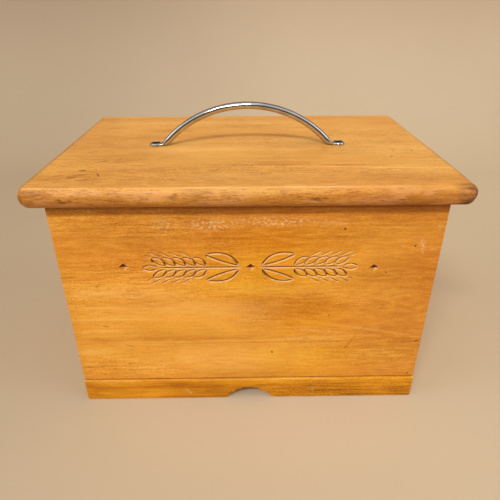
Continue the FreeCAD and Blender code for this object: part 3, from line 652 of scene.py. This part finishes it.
EASE, EASE_SEGMENTS = 1.5 * MM, 8
CARVED_SMOOTH = 12  # degrees, less than the angle between a diamond's slopes and the face
ALONG_AXIS = 0.9999  # the greatest part of a normal above which a face counts as a flat side


def make_front(clean, cut):
    """The front board with the ornament cut into it."""
    low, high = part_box("front_panel")
    board = mesh_of(eased_box(low, high, EASE, EASE_SEGMENTS), "board")
    cutter = carving_cutter(low.y)
    board.materials.append(clean)
    cutter.materials.append(cut)
    mesh = carved(board, cutter)
    made = finish_piece(
        mesh, "front_board", CASE, ["front_panel"], smooth=CARVED_SMOOTH)
    for polygon in mesh.polygons:  # the board's six sides stay flat beside the slopes
        polygon.use_smooth = max(abs(part) for part in polygon.normal) < ALONG_AXIS
    return made


# -------------------- lid


def lid_stations(half_x, half_y):
    """Points round the lid with its round corners: (base x, base y, outward x, outward y).

    The outline at an inset is base + outward * (LID_CORNER - inset).
    """
    stations = []
    flat_x, flat_y = half_x - LID_CORNER, half_y - LID_CORNER
    ends = [(flat_x, -flat_y), (flat_x, flat_y), (-flat_x, flat_y), (-flat_x, -flat_y)]
    for turn, (x, y) in enumerate(ends):
        start = -math.pi / 2 + turn * math.pi / 2
        for i in range(CORNER_TURNS):
            angle = start + i / CORNER_TURNS * math.pi / 2
            stations.append((x, y, math.cos(angle), math.sin(angle)))
        after = ends[(turn + 1) % 4]
        length = math.hypot(after[0] - x, after[1] - y)
        count = int(length / STATION_STEP)
        angle = start + math.pi / 2
        for i in range(count):
            t = i / count
            stations.append((x + (after[0] - x) * t, y + (after[1] - y) * t,
                             math.cos(angle), math.sin(angle)))
    return stations


# Knocks in the lid's edge, in mm: x, y, z, radius along, radius up, depth, grime.
LID_KNOCKS = (
    (-161.2, -143.5, 250.4, 4, 1.5, 0.9, 1), (-164, -143.5, 253.4, 1.4, 1, 0.6, 1),
    (-155, -143.5, 252, 2, 0.8, 0.5, 0.8), (-66.3, -143.5, 254.6, 3.6, 1.5, 0.8, 1),
    (-63.6, -143.5, 257.2, 1.6, 1.2, 0.6, 1), (-113.7, -143.5, 258.6, 1.4, 1.2, 0.6, 0.9),
    (58.1, -143.5, 252.2, 5.4, 1.3, 0.8, 0.9), (66, -143.5, 253.4, 2.8, 0.9, 0.5, 0.8),
    (30.2, -143.5, 258, 2, 0.8, 0.4, 0.7), (133.1, -143.5, 251.2, 2.4, 1, 0.5, 0.8),
    (195, -141, 254, 3.5, 2.6, 0.9, 0.8), (197.5, -140, 257, 1.6, 1.4, 0.7, 1),
    (193, -142.5, 256.6, 1.4, 1.2, 0.7, 0.9), (189, -143.5, 254.8, 1.8, 0.8, 0.5, 0.8),
    (200.5, -138, 255, 1, 2.2, 0.6, 0.9), (199, -138, 250, 2.5, 2, 0.7, 0.7),
    (192, -143, 250.5, 2, 1.2, 0.5, 0.8), (-95, -143.5, 256, 1.8, 0.8, 0.3, 0.5),
    (20, -143.5, 249.5, 2.4, 0.8, 0.3, 0.5), (-18, -143.5, 253.5, 1.6, 0.7, 0.3, 0.5),
    (120, -143.5, 248.6, 3, 0.8, 0.4, 0.5), (-203, -60, 255, 3, 1.6, 0.6, 0.6),
    (-203, 40, 252, 2.4, 1.2, 0.5, 0.6), (203, 10, 256, 3, 1.4, 0.6, 0.6),
    (203, 90, 250.5, 2.6, 1.4, 0.5, 0.6), (60, 143.5, 254, 3.4, 1.4, 0.6, 0.6),
    (-110, 143.5, 251, 2.4, 1.2, 0.4, 0.5),
)
LID_CORNER, LID_NOSE = 10.5 * MM, 4.8 * MM
CREASE_CRISP, CREASE_WORN = 0.35 * MM, 4 * MM  # how far the top crease is rubbed round
CREASE_HIGHLIGHT_REACH, NOSE_SHADE_AND_WEAR_REACH = 0.9 * MM, 7 * MM  # reach of the painted highlight along the crease, and of the nosing's painted shade and wear
WORN_CORNER, WORN_REACH = (203 * MM, -143.5 * MM), 55 * MM  # the crease's most rubbed stretch
CREASE_WAVER, CREASE_CYCLES = 1.3, 19  # how the crisp crease wavers, and its cycles per metre
WAVE, WAVE_CYCLES = 0.08 * MM, 45  # how wavy the nosing is
HIGHLIGHT_PATCHINESS, HIGHLIGHT_PATCH_CYCLES = 0.6, 28  # how patchy the painted highlight along the crease is
STATION_STEP = 1.6 * MM
CORNER_TURNS, SECTION_TURNS, CREASE_POINTS = 10, 18, 6
TOP_SHARES = 0.95, 0.45  # rings of the top, from the crease to the middle of the corners


def crease_wear(place):
    """How far the top crease is rubbed round at a place: little, more at the right front."""
    corner = Vector((*WORN_CORNER, place.z))
    near = math.exp(-((place - corner).length / WORN_REACH) ** 2)
    patch = 0.5 + 0.5 * noise.noise(place * CREASE_CYCLES)
    return CREASE_CRISP * (1 + CREASE_WAVER * patch) + CREASE_WORN * near


def lid_section(rim, low, high):
    """The lid's section at a place of its rim: (inset, height), from the top to the underside."""
    half, middle = (high - low) / 2, (low + high) / 2
    radius = (half**2 + LID_NOSE**2) / (2 * LID_NOSE)
    reach = math.asin(half / radius)
    wear = crease_wear(rim)
    turn = wear / radius
    start = (LID_NOSE + wear, high)
    end = (radius * (1 - math.cos(reach - turn)), middle + radius * math.sin(reach - turn))
    section = [(start[0] + (LID_CORNER - start[0]) * share, high) for share in TOP_SHARES]
    section += list(curve_points((start, (LID_NOSE, high), end), CREASE_POINTS))
    for i in range(1, SECTION_TURNS + 1):
        angle = reach - turn - (2 * reach - turn) * i / SECTION_TURNS
        section.append((radius * (1 - math.cos(angle)), middle + radius * math.sin(angle)))
    return section


def knocked(place, sink):
    """Adds what the knocks sink a place to what it is sunk, and says how dark they make it."""
    dirt = 0.0
    for x, y, z, along, up, depth, dark in LID_KNOCKS:
        off = place / MM - Vector((x, y, z))
        flat = math.hypot(off.x, off.y) / along
        near = math.exp(-(flat**2 + (off.z / up) ** 2))
        sink += depth * MM * near
        dirt = max(dirt, dark * near)
    return sink, dirt


def make_lid(material):
    """The lid with its nosing, as rings of points from the middle of the top to the underside."""
    low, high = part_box("lid_board")
    stations = lid_stations(high.x, high.y)
    count = len(stations)
    columns = []
    for x, y, out_x, out_y in stations:
        rim = Vector((x + out_x * LID_CORNER, y + out_y * LID_CORNER, high.z))
        columns.append(lid_section(rim, low.z, high.z))
    rows = len(columns[0])
    verts, grime, edge, crease = [], [], [], []
    for row in range(rows):
        for column, (x, y, out_x, out_y) in zip(columns, stations):
            inset, z = column[row]
            out = LID_CORNER - inset
            place = Vector((x + out_x * out, y + out_y * out, z))
            wave = WAVE * (1 + noise.noise(place * WAVE_CYCLES))
            sink, dirt = knocked(place, wave * max(0, 1 - inset / LID_NOSE))
            place -= Vector((out_x, out_y, 0)) * sink
            verts.append(place)
            grime.append(dirt)
            # edge is 0 at the top and grows down the nosing; the material darkens the nosing with
            # it as painted shade and also uses it for the nosing's wear.
            edge.append(min(1.0, (high.z - z) / NOSE_SHADE_AND_WEAR_REACH))
            # crease holds a painted highlight along the top crease, on the front edge only.
            off_crease = Vector((inset - LID_NOSE, high.z - z)).length
            highlight_share = HIGHLIGHT_PATCHINESS + HIGHLIGHT_PATCHINESS * noise.noise(place * HIGHLIGHT_PATCH_CYCLES)
            crease.append(max(0, -out_y) * highlight_share * math.exp(-(off_crease / CREASE_HIGHLIGHT_REACH) ** 2))
    faces = [tuple(range(count)),
             tuple(reversed(range((rows - 1) * count, rows * count)))]
    for row in range(rows - 1):
        faces += ring_faces(row * count, (row + 1) * count, count, inward=True)
    mesh = new_mesh("nosed_lid", verts, faces)
    made = finish_piece(mesh, "nosed_lid", LID, ["lid_board"], material, smooth=40)
    for flat in made.data.polygons[:2]:  # the top and the underside
        flat.use_smooth = False
    for name, values in (("grime", grime), ("edge", edge), ("crease", crease)):
        layer = made.data.attributes.new(name, "FLOAT", "POINT")
        layer.data.foreach_set("value", values)
    return made


# -------------------- handle

ROD = 3.95 * MM
EYE_X, FOOT_REACH, FOOT_BEND = 101.6 * MM, 9.5 * MM, 7 * MM
EYE_RADIUS, EYE_THICK = 7.1 * MM, 3.4 * MM
EYE_FOOT, EYE_DOME = 0.6 * MM, 2.1 * MM  # how far its lower and upper edges are rounded
NECK_START, NECK_END = 12.5 * MM, 5.6 * MM  # from the eye's middle to where the rod is pressed flat
NECK_HALF_WIDTH, NECK_HALF_THICK = 5.0 * MM, 1.63 * MM
HOLE_RADIUS, SINK_RADIUS = 1.95 * MM, 4.85 * MM
SINK_RIM, SINK_DEPTH = 0.15 * MM, 3 * MM  # under the eye's top
BOW_TURNS, FOOT_TURNS, TIP_STEPS = 24, 12, 6
ROD_SPOKES, EYE_SPOKES, SCREW_SPOKES = 28, 40, 32
EDGE_TURNS = range(0, 105, 15)  # degrees round an eye's rounded edge

HEAD_PLAY, SHANK_RADIUS = 0.05 * MM, 1.9 * MM
HEAD_DOME = ((0.5, 0.08 * MM), (0.85, 0.25 * MM), (1.0, 0.5 * MM))  # share of the radius, drop
HEAD_DEPTH, TIP_LENGTH = 3.2 * MM, 2 * MM
SLOT_WIDTH, SLOT_HEIGHT = 1.2 * MM, 2.4 * MM  # half of the height is in the head
SLOT_TURNS = (-1, 0.5), (1, -0.9)  # hand of the eye, angle


def handle_line(rise):
    """The rod's middle before it is pressed flat: (x, up, angle) from the left to the right eye."""
    foot = EYE_X - FOOT_REACH
    both = (foot**2 + rise**2) / (2 * rise)
    main = both - FOOT_BEND
    turn = math.asin(foot / both)
    right = []
    for i in range(BOW_TURNS + 1):
        angle = turn * i / BOW_TURNS
        right.append((main * math.sin(angle), rise - main * (1 - math.cos(angle)), -angle))
    for i in range(1, FOOT_TURNS + 1):
        angle = turn * (1 - i / FOOT_TURNS)
        right.append((foot - FOOT_BEND * math.sin(angle),
                      FOOT_BEND * (1 - math.cos(angle)), -angle))
    for i in range(1, TIP_STEPS + 1):
        right.append((foot + (EYE_X - NECK_END - foot) * i / TIP_STEPS, 0.0, 0.0))
    return [(-x, up, -angle) for x, up, angle in reversed(right[1:])] + right


def make_handle(material):
    """The bent rod with its ends pressed flat, and the two eyes that they run into."""
    low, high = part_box("handle")
    base, line_y = low.z, (low.y + high.y) / 2
    rise = high.z - base - 2 * ROD
    verts, faces = [], []
    for x, up, angle in handle_line(rise):
        near = (NECK_START - (EYE_X - abs(x))) / (NECK_START - NECK_END)
        near = min(1, max(0, near))
        flat = near * near * (3 - 2 * near)
        half_thick = ROD + (NECK_HALF_THICK - ROD) * flat
        half_width = ROD + (NECK_HALF_WIDTH - ROD) * flat
        press = half_thick - ROD
        x, z = x - math.sin(angle) * press, base + ROD + up + math.cos(angle) * press
        for across, upward in circle(ROD_SPOKES):
            sideways, up = across * half_width, upward * half_thick
            verts.append((x - math.sin(angle) * up, line_y + sideways, z + math.cos(angle) * up))
    for first in range(0, len(verts) - ROD_SPOKES, ROD_SPOKES):
        faces += ring_faces(first, first + ROD_SPOKES, ROD_SPOKES)
    faces.append(tuple(range(ROD_SPOKES)))
    faces.append(tuple(reversed(range(len(verts) - ROD_SPOKES, len(verts)))))
    rim = [(EYE_RADIUS - round_off * (1 - math.cos(angle)), middle + math.sin(angle) * round_off)
           for middle, round_off, first in (
               (EYE_FOOT, EYE_FOOT, -90), (EYE_THICK - EYE_DOME, EYE_DOME, 0))
           for angle in (math.radians(first + turn) for turn in EDGE_TURNS)]
    profile = [(HOLE_RADIUS, 0)] + rim + [
        (SINK_RADIUS, EYE_THICK - SINK_RIM), (HOLE_RADIUS, EYE_THICK - SINK_DEPTH),
    ]
    for hand in (-1, 1):
        rings = [len(verts) + i * EYE_SPOKES for i in range(len(profile))]
        for radius, up in profile:
            verts += [(hand * EYE_X + x * radius, line_y + y * radius, base + up)
                      for x, y in circle(EYE_SPOKES)]
        for a, b in zip(rings, rings[1:] + rings[:1]):
            faces += ring_faces(a, b, EYE_SPOKES)
    mesh = new_mesh("bow_handle", verts, faces)
    return finish_piece(mesh, "bow_handle", LID, ["handle"], material, smooth=50)


def lathe(profile, spokes, middle):
    """Vertices and faces of a solid turned about an upright axis, from (radius, up) points.

    The first and last points are on the axis.
    """
    verts = [middle + Vector((0, 0, profile[0][1]))]
    for radius, up in profile[1:-1]:
        verts += [middle + Vector((x * radius, y * radius, up)) for x, y in circle(spokes)]
    verts.append(middle + Vector((0, 0, profile[-1][1])))
    faces = []
    for j in range(spokes):
        k = (j + 1) % spokes
        faces += [(0, 1 + j, 1 + k), (len(verts) - 1, len(verts) - 1 - spokes + k,
                                      len(verts) - 1 - spokes + j)]
        for row in range(len(profile) - 3):
            a, b = 1 + row * spokes, 1 + (row + 1) * spokes
            faces.append((a + j, b + j, b + k, a + k))
    return verts, faces


def make_handle_screws(material):
    """Countersunk screws with a domed, slotted head in the handle's eyes."""
    low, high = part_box("handle_screws")
    head, tip = SINK_RADIUS - HEAD_PLAY, low.z - high.z
    dome = [(head * share, -drop) for share, drop in HEAD_DOME]
    shank = [(SHANK_RADIUS, -HEAD_DEPTH), (SHANK_RADIUS, tip + TIP_LENGTH)]
    profile = [(0, 0)] + dome + shank + [(0, tip)]
    base, cutter = bmesh.new(), bmesh.new()
    for hand, turn in SLOT_TURNS:
        middle = Vector((hand * EYE_X, (low.y + high.y) / 2, high.z))
        add_solid(base, *lathe(profile, SCREW_SPOKES, middle))
        slot = bmesh.ops.create_cube(cutter, size=1)["verts"]
        for vert in slot:
            size = Vector((3 * head, SLOT_WIDTH, SLOT_HEIGHT))
            place = Vector(c * s for c, s in zip(vert.co, size))
            vert.co = Matrix.Rotation(turn, 3, "Z") @ place + middle
    mesh = carved(mesh_of(base, "screws"), mesh_of(cutter, "slots"))
    return finish_piece(mesh, "slotted_screws", LID, ["handle_screws"], material)


# -------------------- stage, light and camera

FLOOR_TONES = rgb(195, 174, 144), rgb(201, 181, 152)
WALL_TONES = rgb(202, 180, 152), rgb(210, 189, 162)
WALL_RISE = 0.0, 0.35  # heights between which the floor's tones become the wall's
LEFT_SHADE, LEFT_SPAN = rgb(226, 225, 225), (-0.6, 0.3, 1.0, 0.0)
STAGE_FRONT, STAGE_WALL, STAGE_TOP, STAGE_HALF = -2.5, 1.1, 2.2, 6.0
STAGE_BEND, BEND_STEPS = 0.45, 24


def make_stage():
    """A floor that turns up into a wall behind the box."""
    material, tree, shader = new_material("backdrop_paper")
    place = object_place(tree)
    soft = grainy(tree, place, (3, 3, 3), 2)
    split = parts_of(tree, place)
    upright = span(tree, split["Z"], *WALL_RISE)
    floor, wall = blend(tree, soft, *FLOOR_TONES), blend(tree, soft, *WALL_TONES)
    colour = blend(tree, upright, floor, wall)
    left = span(tree, split["X"], *LEFT_SPAN)
    colour = blend(tree, left, colour, LEFT_SHADE, "MULTIPLY")
    link(tree, shader.inputs["Base Color"], colour)
    shader.inputs["Roughness"].default_value = 0.9
    shader.inputs["Specular IOR Level"].default_value = 0.1
    line = [(STAGE_FRONT, 0.0)]
    for i in range(BEND_STEPS + 1):
        angle = i / BEND_STEPS * math.pi / 2
        line.append((STAGE_WALL - STAGE_BEND + STAGE_BEND * math.sin(angle),
                     STAGE_BEND * (1 - math.cos(angle))))
    line.append((STAGE_WALL, STAGE_TOP))
    verts = [(x, y, z) for y, z in line for x in (-STAGE_HALF, STAGE_HALF)]
    faces = [(i * 2, i * 2 + 1, i * 2 + 3, i * 2 + 2) for i in range(len(line) - 1)]
    mesh = new_mesh("backdrop", verts, faces)
    mesh.materials.append(material)
    mesh.shade_smooth()
    made = new_object("backdrop", mesh)


KEY_PLACE, KEY_AIM = (-0.6, -2.35, 2.55), (0, 0, 0.2)
KEY_WIDTH, KEY_HEIGHT, KEY_POWER = 1.5, 0.2, 76
KEY_COLOUR = (1, 0.98, 0.95)
# The room is brightest in a band overhead, in degrees up from the horizon in front.
BAND_RISE, BAND_FALL = (14, 52), (112, 80)
BAND_LIGHT, ROOM_LIGHT = 0.93, 0.085
ROOM, BAND = (1, 0.8, 0.62, 1), (1, 1, 1, 1)
SIDE_REACH, SIDE_LIGHT = (0.68, 0.86), 2.2  # brighter windows at the band's left and right ends


def make_light():
    """One soft key from the front left, in a dim room with a bright band and two windows."""
    light = bpy.data.lights.new("key", "AREA")
    light.shape, light.size, light.size_y = "RECTANGLE", KEY_WIDTH, KEY_HEIGHT
    light.energy, light.color = KEY_POWER, KEY_COLOUR
    made = new_object("key", light)
    made.location = KEY_PLACE
    way = Vector(KEY_AIM) - Vector(KEY_PLACE)
    made.rotation_euler = way.to_track_quat("-Z", "Y").to_euler()

    world = bpy.data.worlds.new("room")
    bpy.context.scene.world = world
    world.use_nodes = True
    tree = world.node_tree
    background = tree.nodes["Background"]
    way = parts_of(tree, node(tree, "TexCoord").outputs["Generated"])
    height = maths(tree, "ARCTAN2", way["Z"], times(tree, way["Y"], -1))
    sides = [span(tree, height, *map(math.radians, side)) for side in (BAND_RISE, BAND_FALL)]
    band = times(tree, *sides)
    aside = span(tree, maths(tree, "ABSOLUTE", way["X"]), *SIDE_REACH, BAND_LIGHT, SIDE_LIGHT)
    strength = total(tree, ROOM_LIGHT, (band, aside))
    link(tree, background.inputs["Color"], blend(tree, band, ROOM, BAND))
    link(tree, background.inputs["Strength"], strength)


# The camera as fitted to the photo, whose frame is square.
PHOTO_SIDE = 500  # in pixels
SENSOR = 36  # in mm
CAMERA_FOCUS = 457.5  # in pixels
CAMERA_PITCH, CAMERA_YAW, CAMERA_ROLL = (math.radians(v) for v in (28.54, 0.75, 0.17))
CAMERA_PLACE = (-4.05 * MM, -512.3 * MM, 404.1 * MM)


def make_camera():
    data = bpy.data.cameras.new("camera")
    data.sensor_width = SENSOR
    data.lens = CAMERA_FOCUS * SENSOR / PHOTO_SIDE
    made = new_object("camera", data)
    turn = (Matrix.Rotation(-CAMERA_YAW, 4, "Z")
            @ Matrix.Rotation(math.pi / 2 - CAMERA_PITCH, 4, "X")
            @ Matrix.Rotation(-CAMERA_ROLL, 4, "Z"))
    made.matrix_world = Matrix.Translation(CAMERA_PLACE) @ turn
    bpy.context.scene.camera = made


# -------------------- dressing

# Marks, scuffs and patches, given one by one: x, height or depth, length, width, degrees, strength.
FRONT_MARKS_AND_SHADOW = (
    (90.7, 215.9, 3, 3, 0, 1), (160, 197, 2.6, 2.6, 0, 1), (135.7, 167.6, 2.4, 2.4, 0, 0.9),
    (83.3, 116.2, 2.8, 2.6, 20, 0.8), (24.7, 67.1, 2.8, 4, 20, 0.8), (104.5, 72.5, 6, 1.6, 50, 0.7),
    (109.5, 81.5, 22, 1.1, 60, 0.6), (120, 98, 14, 0.9, 58, 0.3), (139, 127, 26, 0.9, 44, 0.35),
    (-150.5, 104.4, 9, 2.6, -10, 0.45), (-127.7, 77.8, 12, 2, -22, 0.4),
    (-132, 52.3, 5, 2.4, 0, 0.45), (-143.7, 121.8, 20, 1.8, -4, 0.25),
    (178.3, 33.9, 6, 2.6, 60, 0.7), (174, 80.2, 30, 1.2, 0, 0.3), (-151.6, 154, 6, 3, 15, 0.3),
    # On the next two lines, (0, 29.3, ...) is a dark line along the seam above the strip, and (0,
    # 244.6, ...) is painted shadow: the lid's shadow as a dark band under its overhang.
    (15, 103, 2, 2, 0, 0.4), (181, 80.6, 6, 2.2, 10, 1), (0, 29.3, 2000, 3.4, 0, 0.6),
    (0, 244.6, 2000, 17, 0, 0.62),
)
FRONT_SCUFFS = (
    (24, 224, 84, 10, 0, 0.75), (-34, 222, 44, 12, 0, 0.8), (-78, 222, 24, 12, 0, 0.5),
    (76, 222, 30, 8, 0, 0.35), (167, 197, 5, 15, 12, 0.9), (180, 217, 4, 6, 0, 0.6),
    (178, 192, 6, 4, 0, 0.6), (-96, 50, 14, 4, 0, 0.5), (72, 96, 50, 5, -8, 0.4),
    (60, 82, 70, 14, 0, 0.25), (10, 118, 60, 30, 0, 0.15),
)
FRONT_SHADES = (
    (45, 122, 130, 50, 0, 0.4), (110, 115, 110, 50, 0, 0.3), (0, 212, 2000, 66, 0, 0.36),
    (180, 130, 150, 330, 0, 0.45), (0, 243, 2000, 30, 0, 0.3), (70, 190, 150, 26, 0, 0.2),
    (-186, 60, 16, 200, 0, 0.15), (-95, 87, 230, 7, 0.6, 0.35), (0, 81, 2000, 1.6, 0, 0.4),
)
FRONT_GLOW = (
    (-150, 128, 60, 3, -2, 0.4), (-140, 113, 90, 2.4, 1, 0.4), (-155, 98, 50, 3, 2, 0.35),
    (-165, 70, 40, 9, 0, 0.3), (110, 100, 120, 4, -10, 0.25), (60, 86, 110, 4, 3, 0.25),
    (-120, 145, 120, 16, 0, 0.3), (-60, 128, 150, 20, 0, 0.25), (-70, 82, 200, 3.4, 0.6, 0.25),
    (-10, 60, 160, 40, 0, 0.25), (20, 150, 120, 14, 0, 0.2),
)
FRONT_HONEY = (
    (10, 172, 170, 70, 0, 0.9), (60, 60, 120, 70, 0, 0.6), (30, 190, 130, 80, 0, 0.9),
    (60, 115, 90, 50, 0, 0.8), (-30, 165, 60, 40, 0, 0.5),
)
LID_MARKS = (
    (148.6, -52.5, 3.4, 3.4, 0, 1), (156.1, -32.1, 2.4, 2.4, 0, 0.9), (176, -33, 2.2, 9, 0, 0.6),
    (-147, -65, 20, 1.8, 25, 0.9), (-157, -92, 9, 4, 0, 0.9), (-139.4, -104.5, 2.4, 12, 24, 0.8),
    (-162, -112, 12, 6, 20, 0.6), (-150, -118, 18, 2.4, 20, 0.55), (-158, -106, 26, 9, 20, 0.3),
    (-175, -106, 12, 4, 20, 0.5), (-183, -117, 8, 3, 20, 0.6), (20, -67.4, 14, 1.8, 0, 0.45),
    (32, -82, 16, 1.8, 0, 0.45), (164, -124.6, 8, 2, 0, 0.5), (70, -108, 9, 1.8, 0, 0.35),
    (-60, -90, 10, 1.8, 0, 0.35), (-198, -10, 6, 420, 0, 0.45), (-204, -137, 5, 24, 0, 0.75),
    (0, 139, 500, 3, 0, 0.25), (198, -10, 4, 420, 0, 0.25), (-165, -30, 16, 3, 40, 0.4),
    (-172, -50, 14, 2.5, 50, 0.35), (-178, -95, 8, 2, 20, 0.5), (-126, 90, 12, 4, 20, 0.35),
)
LID_SHADES = (
    (-140, -30, 110, 170, 0, 0.25), (-190, 60, 70, 260, 0, 0.3), (-60, 120, 300, 40, 0, 0.2),
    (0, -122, 2000, 40, 0, 0.4), (-120, -100, 110, 60, 0, 0.3), (-175, 20, 60, 90, 0, 0.3),
    (-95, 58, 60, 20, 0, 0.4), (-8, -78, 60, 10, 0, 0.4), (26, -74, 50, 12, 0, 0.45),
    (100, -80, 50, 8, 0, 0.35),
)
LID_HANDLED = (
    (-190, -143.5, 50, 13, 0, 0.36), (-140, -143.5, 90, 8, 0, 0.14), (198, -141, 30, 16, 0, 0.8),
    (150, -143.5, 90, 8, 0, 0.2), (40, -143.5, 120, 8, 0, 0.06), (199, -60, 6, 120, 0, 0.3),
    (-42, -143.5, 24, 8, 0, 0.3), (-16, -143.5, 18, 8, 0, 0.2),
)
LID_GLOW = (
    (130, -87.5, 190, 2.4, -3, 0.8), (30, -112, 260, 18, 0, 0.2), (60, 10, 240, 40, 0, 0.2),
    (-60, -20, 160, 24, 0, 0.2),
)
# Painted shadow: dark strokes along the arch of the strip's finger notch, darkest at its left.
STRIP_NOTCH_SHADOW = (
    (-22, 8.2, 9, 1.6, 38, 0.9), (-14.5, 12.6, 9, 1.7, 25, 0.9), (-6.5, 15, 9, 1.6, 11, 0.8),
    (2, 15.5, 9, 1.4, -3, 0.65), (10, 14.2, 9, 1.3, -16, 0.5), (18, 10.8, 8, 1.2, -30, 0.35),
)
STRIP_SCUFFS_AND_HIGHLIGHT = (
    (-72, 13, 8, 2.6, 30, 0.7), (-69, 10.5, 4, 6, 20, 0.7), (69.5, 13, 8, 2.6, -10, 0.5),
    # (-150, 25, ...) and (60, 27, ...) on the next line are a painted highlight along the strip's
    # rounded top edge; the other rows are scuffs round the plugs.
    (72.5, 10.5, 3, 6, 30, 0.5), (-150, 25, 50, 3, 0, 0.3), (60, 27, 80, 2, 0, 0.3),
)
STRIP_SHADES = (
    (-60, 18, 300, 6, 0, 0.5), (-180, 14, 26, 30, 0, 0.45), (-110, 2, 160, 5, 0, 0.3),
    (150, 16, 90, 16, 0, 0.35), (70, 14, 60, 22, 0, 0.25),
)

FRONT_HEART = 0.10, 0.09


def make_materials():
    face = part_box("front_panel")[0].y
    return {
        "front": wood(
            "front_pine", AMBER, "xzy", FRONT_HEART, 1, FRONT_MARKS_AND_SHADOW, scuffs=FRONT_SCUFFS,
            patched=((FRONT_SHADES, SHADE, "MULTIPLY"), (FRONT_GLOW, PALE, "MIX"),
                     (FRONT_HONEY, YELLOW, "MULTIPLY")),
            contrast=0.7, stretch=1.6, mottle=0.65, pores=0.3, calm=(-0.12, 0.08, 0.95, 0.7),
        ),
        "carving": wood(
            "carved_pine", AMBER, "xzy", FRONT_HEART, 1, rough=0.6, coat=0.0,
            dark=[[face + depth for depth in pair] for pair in CARVING_SHADE],
        ),
        "lid": wood(
            "lid_pine", TAN, "xyz", (0.03, 0.16), 2, LID_MARKS, "y",
            patched=((LID_SHADES, SHADE, "MULTIPLY"), (LID_HANDLED, GREASE, "MIX"),
                     (LID_GLOW, PALE, "MIX")),
            lid_wear_and_light=True, red=0.4, stretch=3.0, contrast=0.7, mottle=0.7, pores=0.5, rough=0.3,
            coat=0.0,
        ),
        "strip": wood(
            "strip_pine", HONEY, "xzy", (0.06, 0.10), 3, STRIP_NOTCH_SHADOW, scuffs=STRIP_SCUFFS_AND_HIGHLIGHT,
            patched=((STRIP_SHADES, SHADE, "MULTIPLY"),),
            contrast=0.75, mottle=1.2, pores=0.3, red=0.3, coat=0.0,
        ),
        "thin": wood("thin_board", PLY, "xyz", (0.0, 0.3), 5, red=0.15, rough=0.6, coat=0.0),
        "chrome": metal("chrome", (194, 192, 192), 0.05, 0.04),
        # The screw heads are near black, which makes the holes in the handle's eyes look dark.
        "dark_steel": metal("dark_steel", (30, 26, 23), 0.6, 0.2, bare=0),
        "steel": metal("steel", (168, 168, 166), 0.3, 0.2),
    }


# Boards of the CAD with their grain's axes: along, across and through.
OUTER = {"left_side": "yzx", "right_side": "yzx", "back_panel": "xzy"}
INNER = {
    "floor_panel": "xyz", "left_runner": "yxz", "right_runner": "yxz",
    "left_batten": "yxz", "right_batten": "yxz", "drawer_rail": "xzy",
    "drawer_left_side": "yzx", "drawer_right_side": "yzx", "drawer_back": "xzy",
}
FIRST_OUTER_SEED, FIRST_INNER_SEED = 6, 10
# Pieces of the CAD that take a material of make_materials.
SHARED = {
    "drawer_front": "strip", "drawer_plugs": "strip", "drawer_bottom": "thin",
    "drawer_screws": "steel", "batten_screws": "steel", "runner_brads": "steel",
    "back_brads": "steel",
}


def dress(name, material):
    """Gives a CAD node a material."""
    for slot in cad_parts[name].material_slots:
        slot.material = material


def dress_nodes(made):
    """Dresses the CAD's own meshes. Each outer and inner board has wood of its own."""
    for seed, (name, axes) in enumerate(OUTER.items(), FIRST_OUTER_SEED):
        dress(name, wood(name + "_pine", AMBER, axes, (0.12, 0.1), seed, contrast=0.8,
                         stretch=2.0, mottle=0.8, pores=0.35))
    for seed, (name, axes) in enumerate(INNER.items(), FIRST_INNER_SEED):
        dress(name, wood(name + "_wood", RAW, axes, (0.03, 0.05), seed, red=0.25, contrast=0.9,
                         pores=0.4, rough=0.62, coat=0.0))
    for name, material in SHARED.items():
        dress(name, made[material])


bpy.context.scene.view_settings.view_transform = "Standard"
make_camera()
make_light()
make_stage()
materials = make_materials()
dress_nodes(materials)
make_front(materials["front"], materials["carving"])
make_lid(materials["lid"])
make_handle(materials["chrome"])
make_handle_screws(materials["dark_steel"])
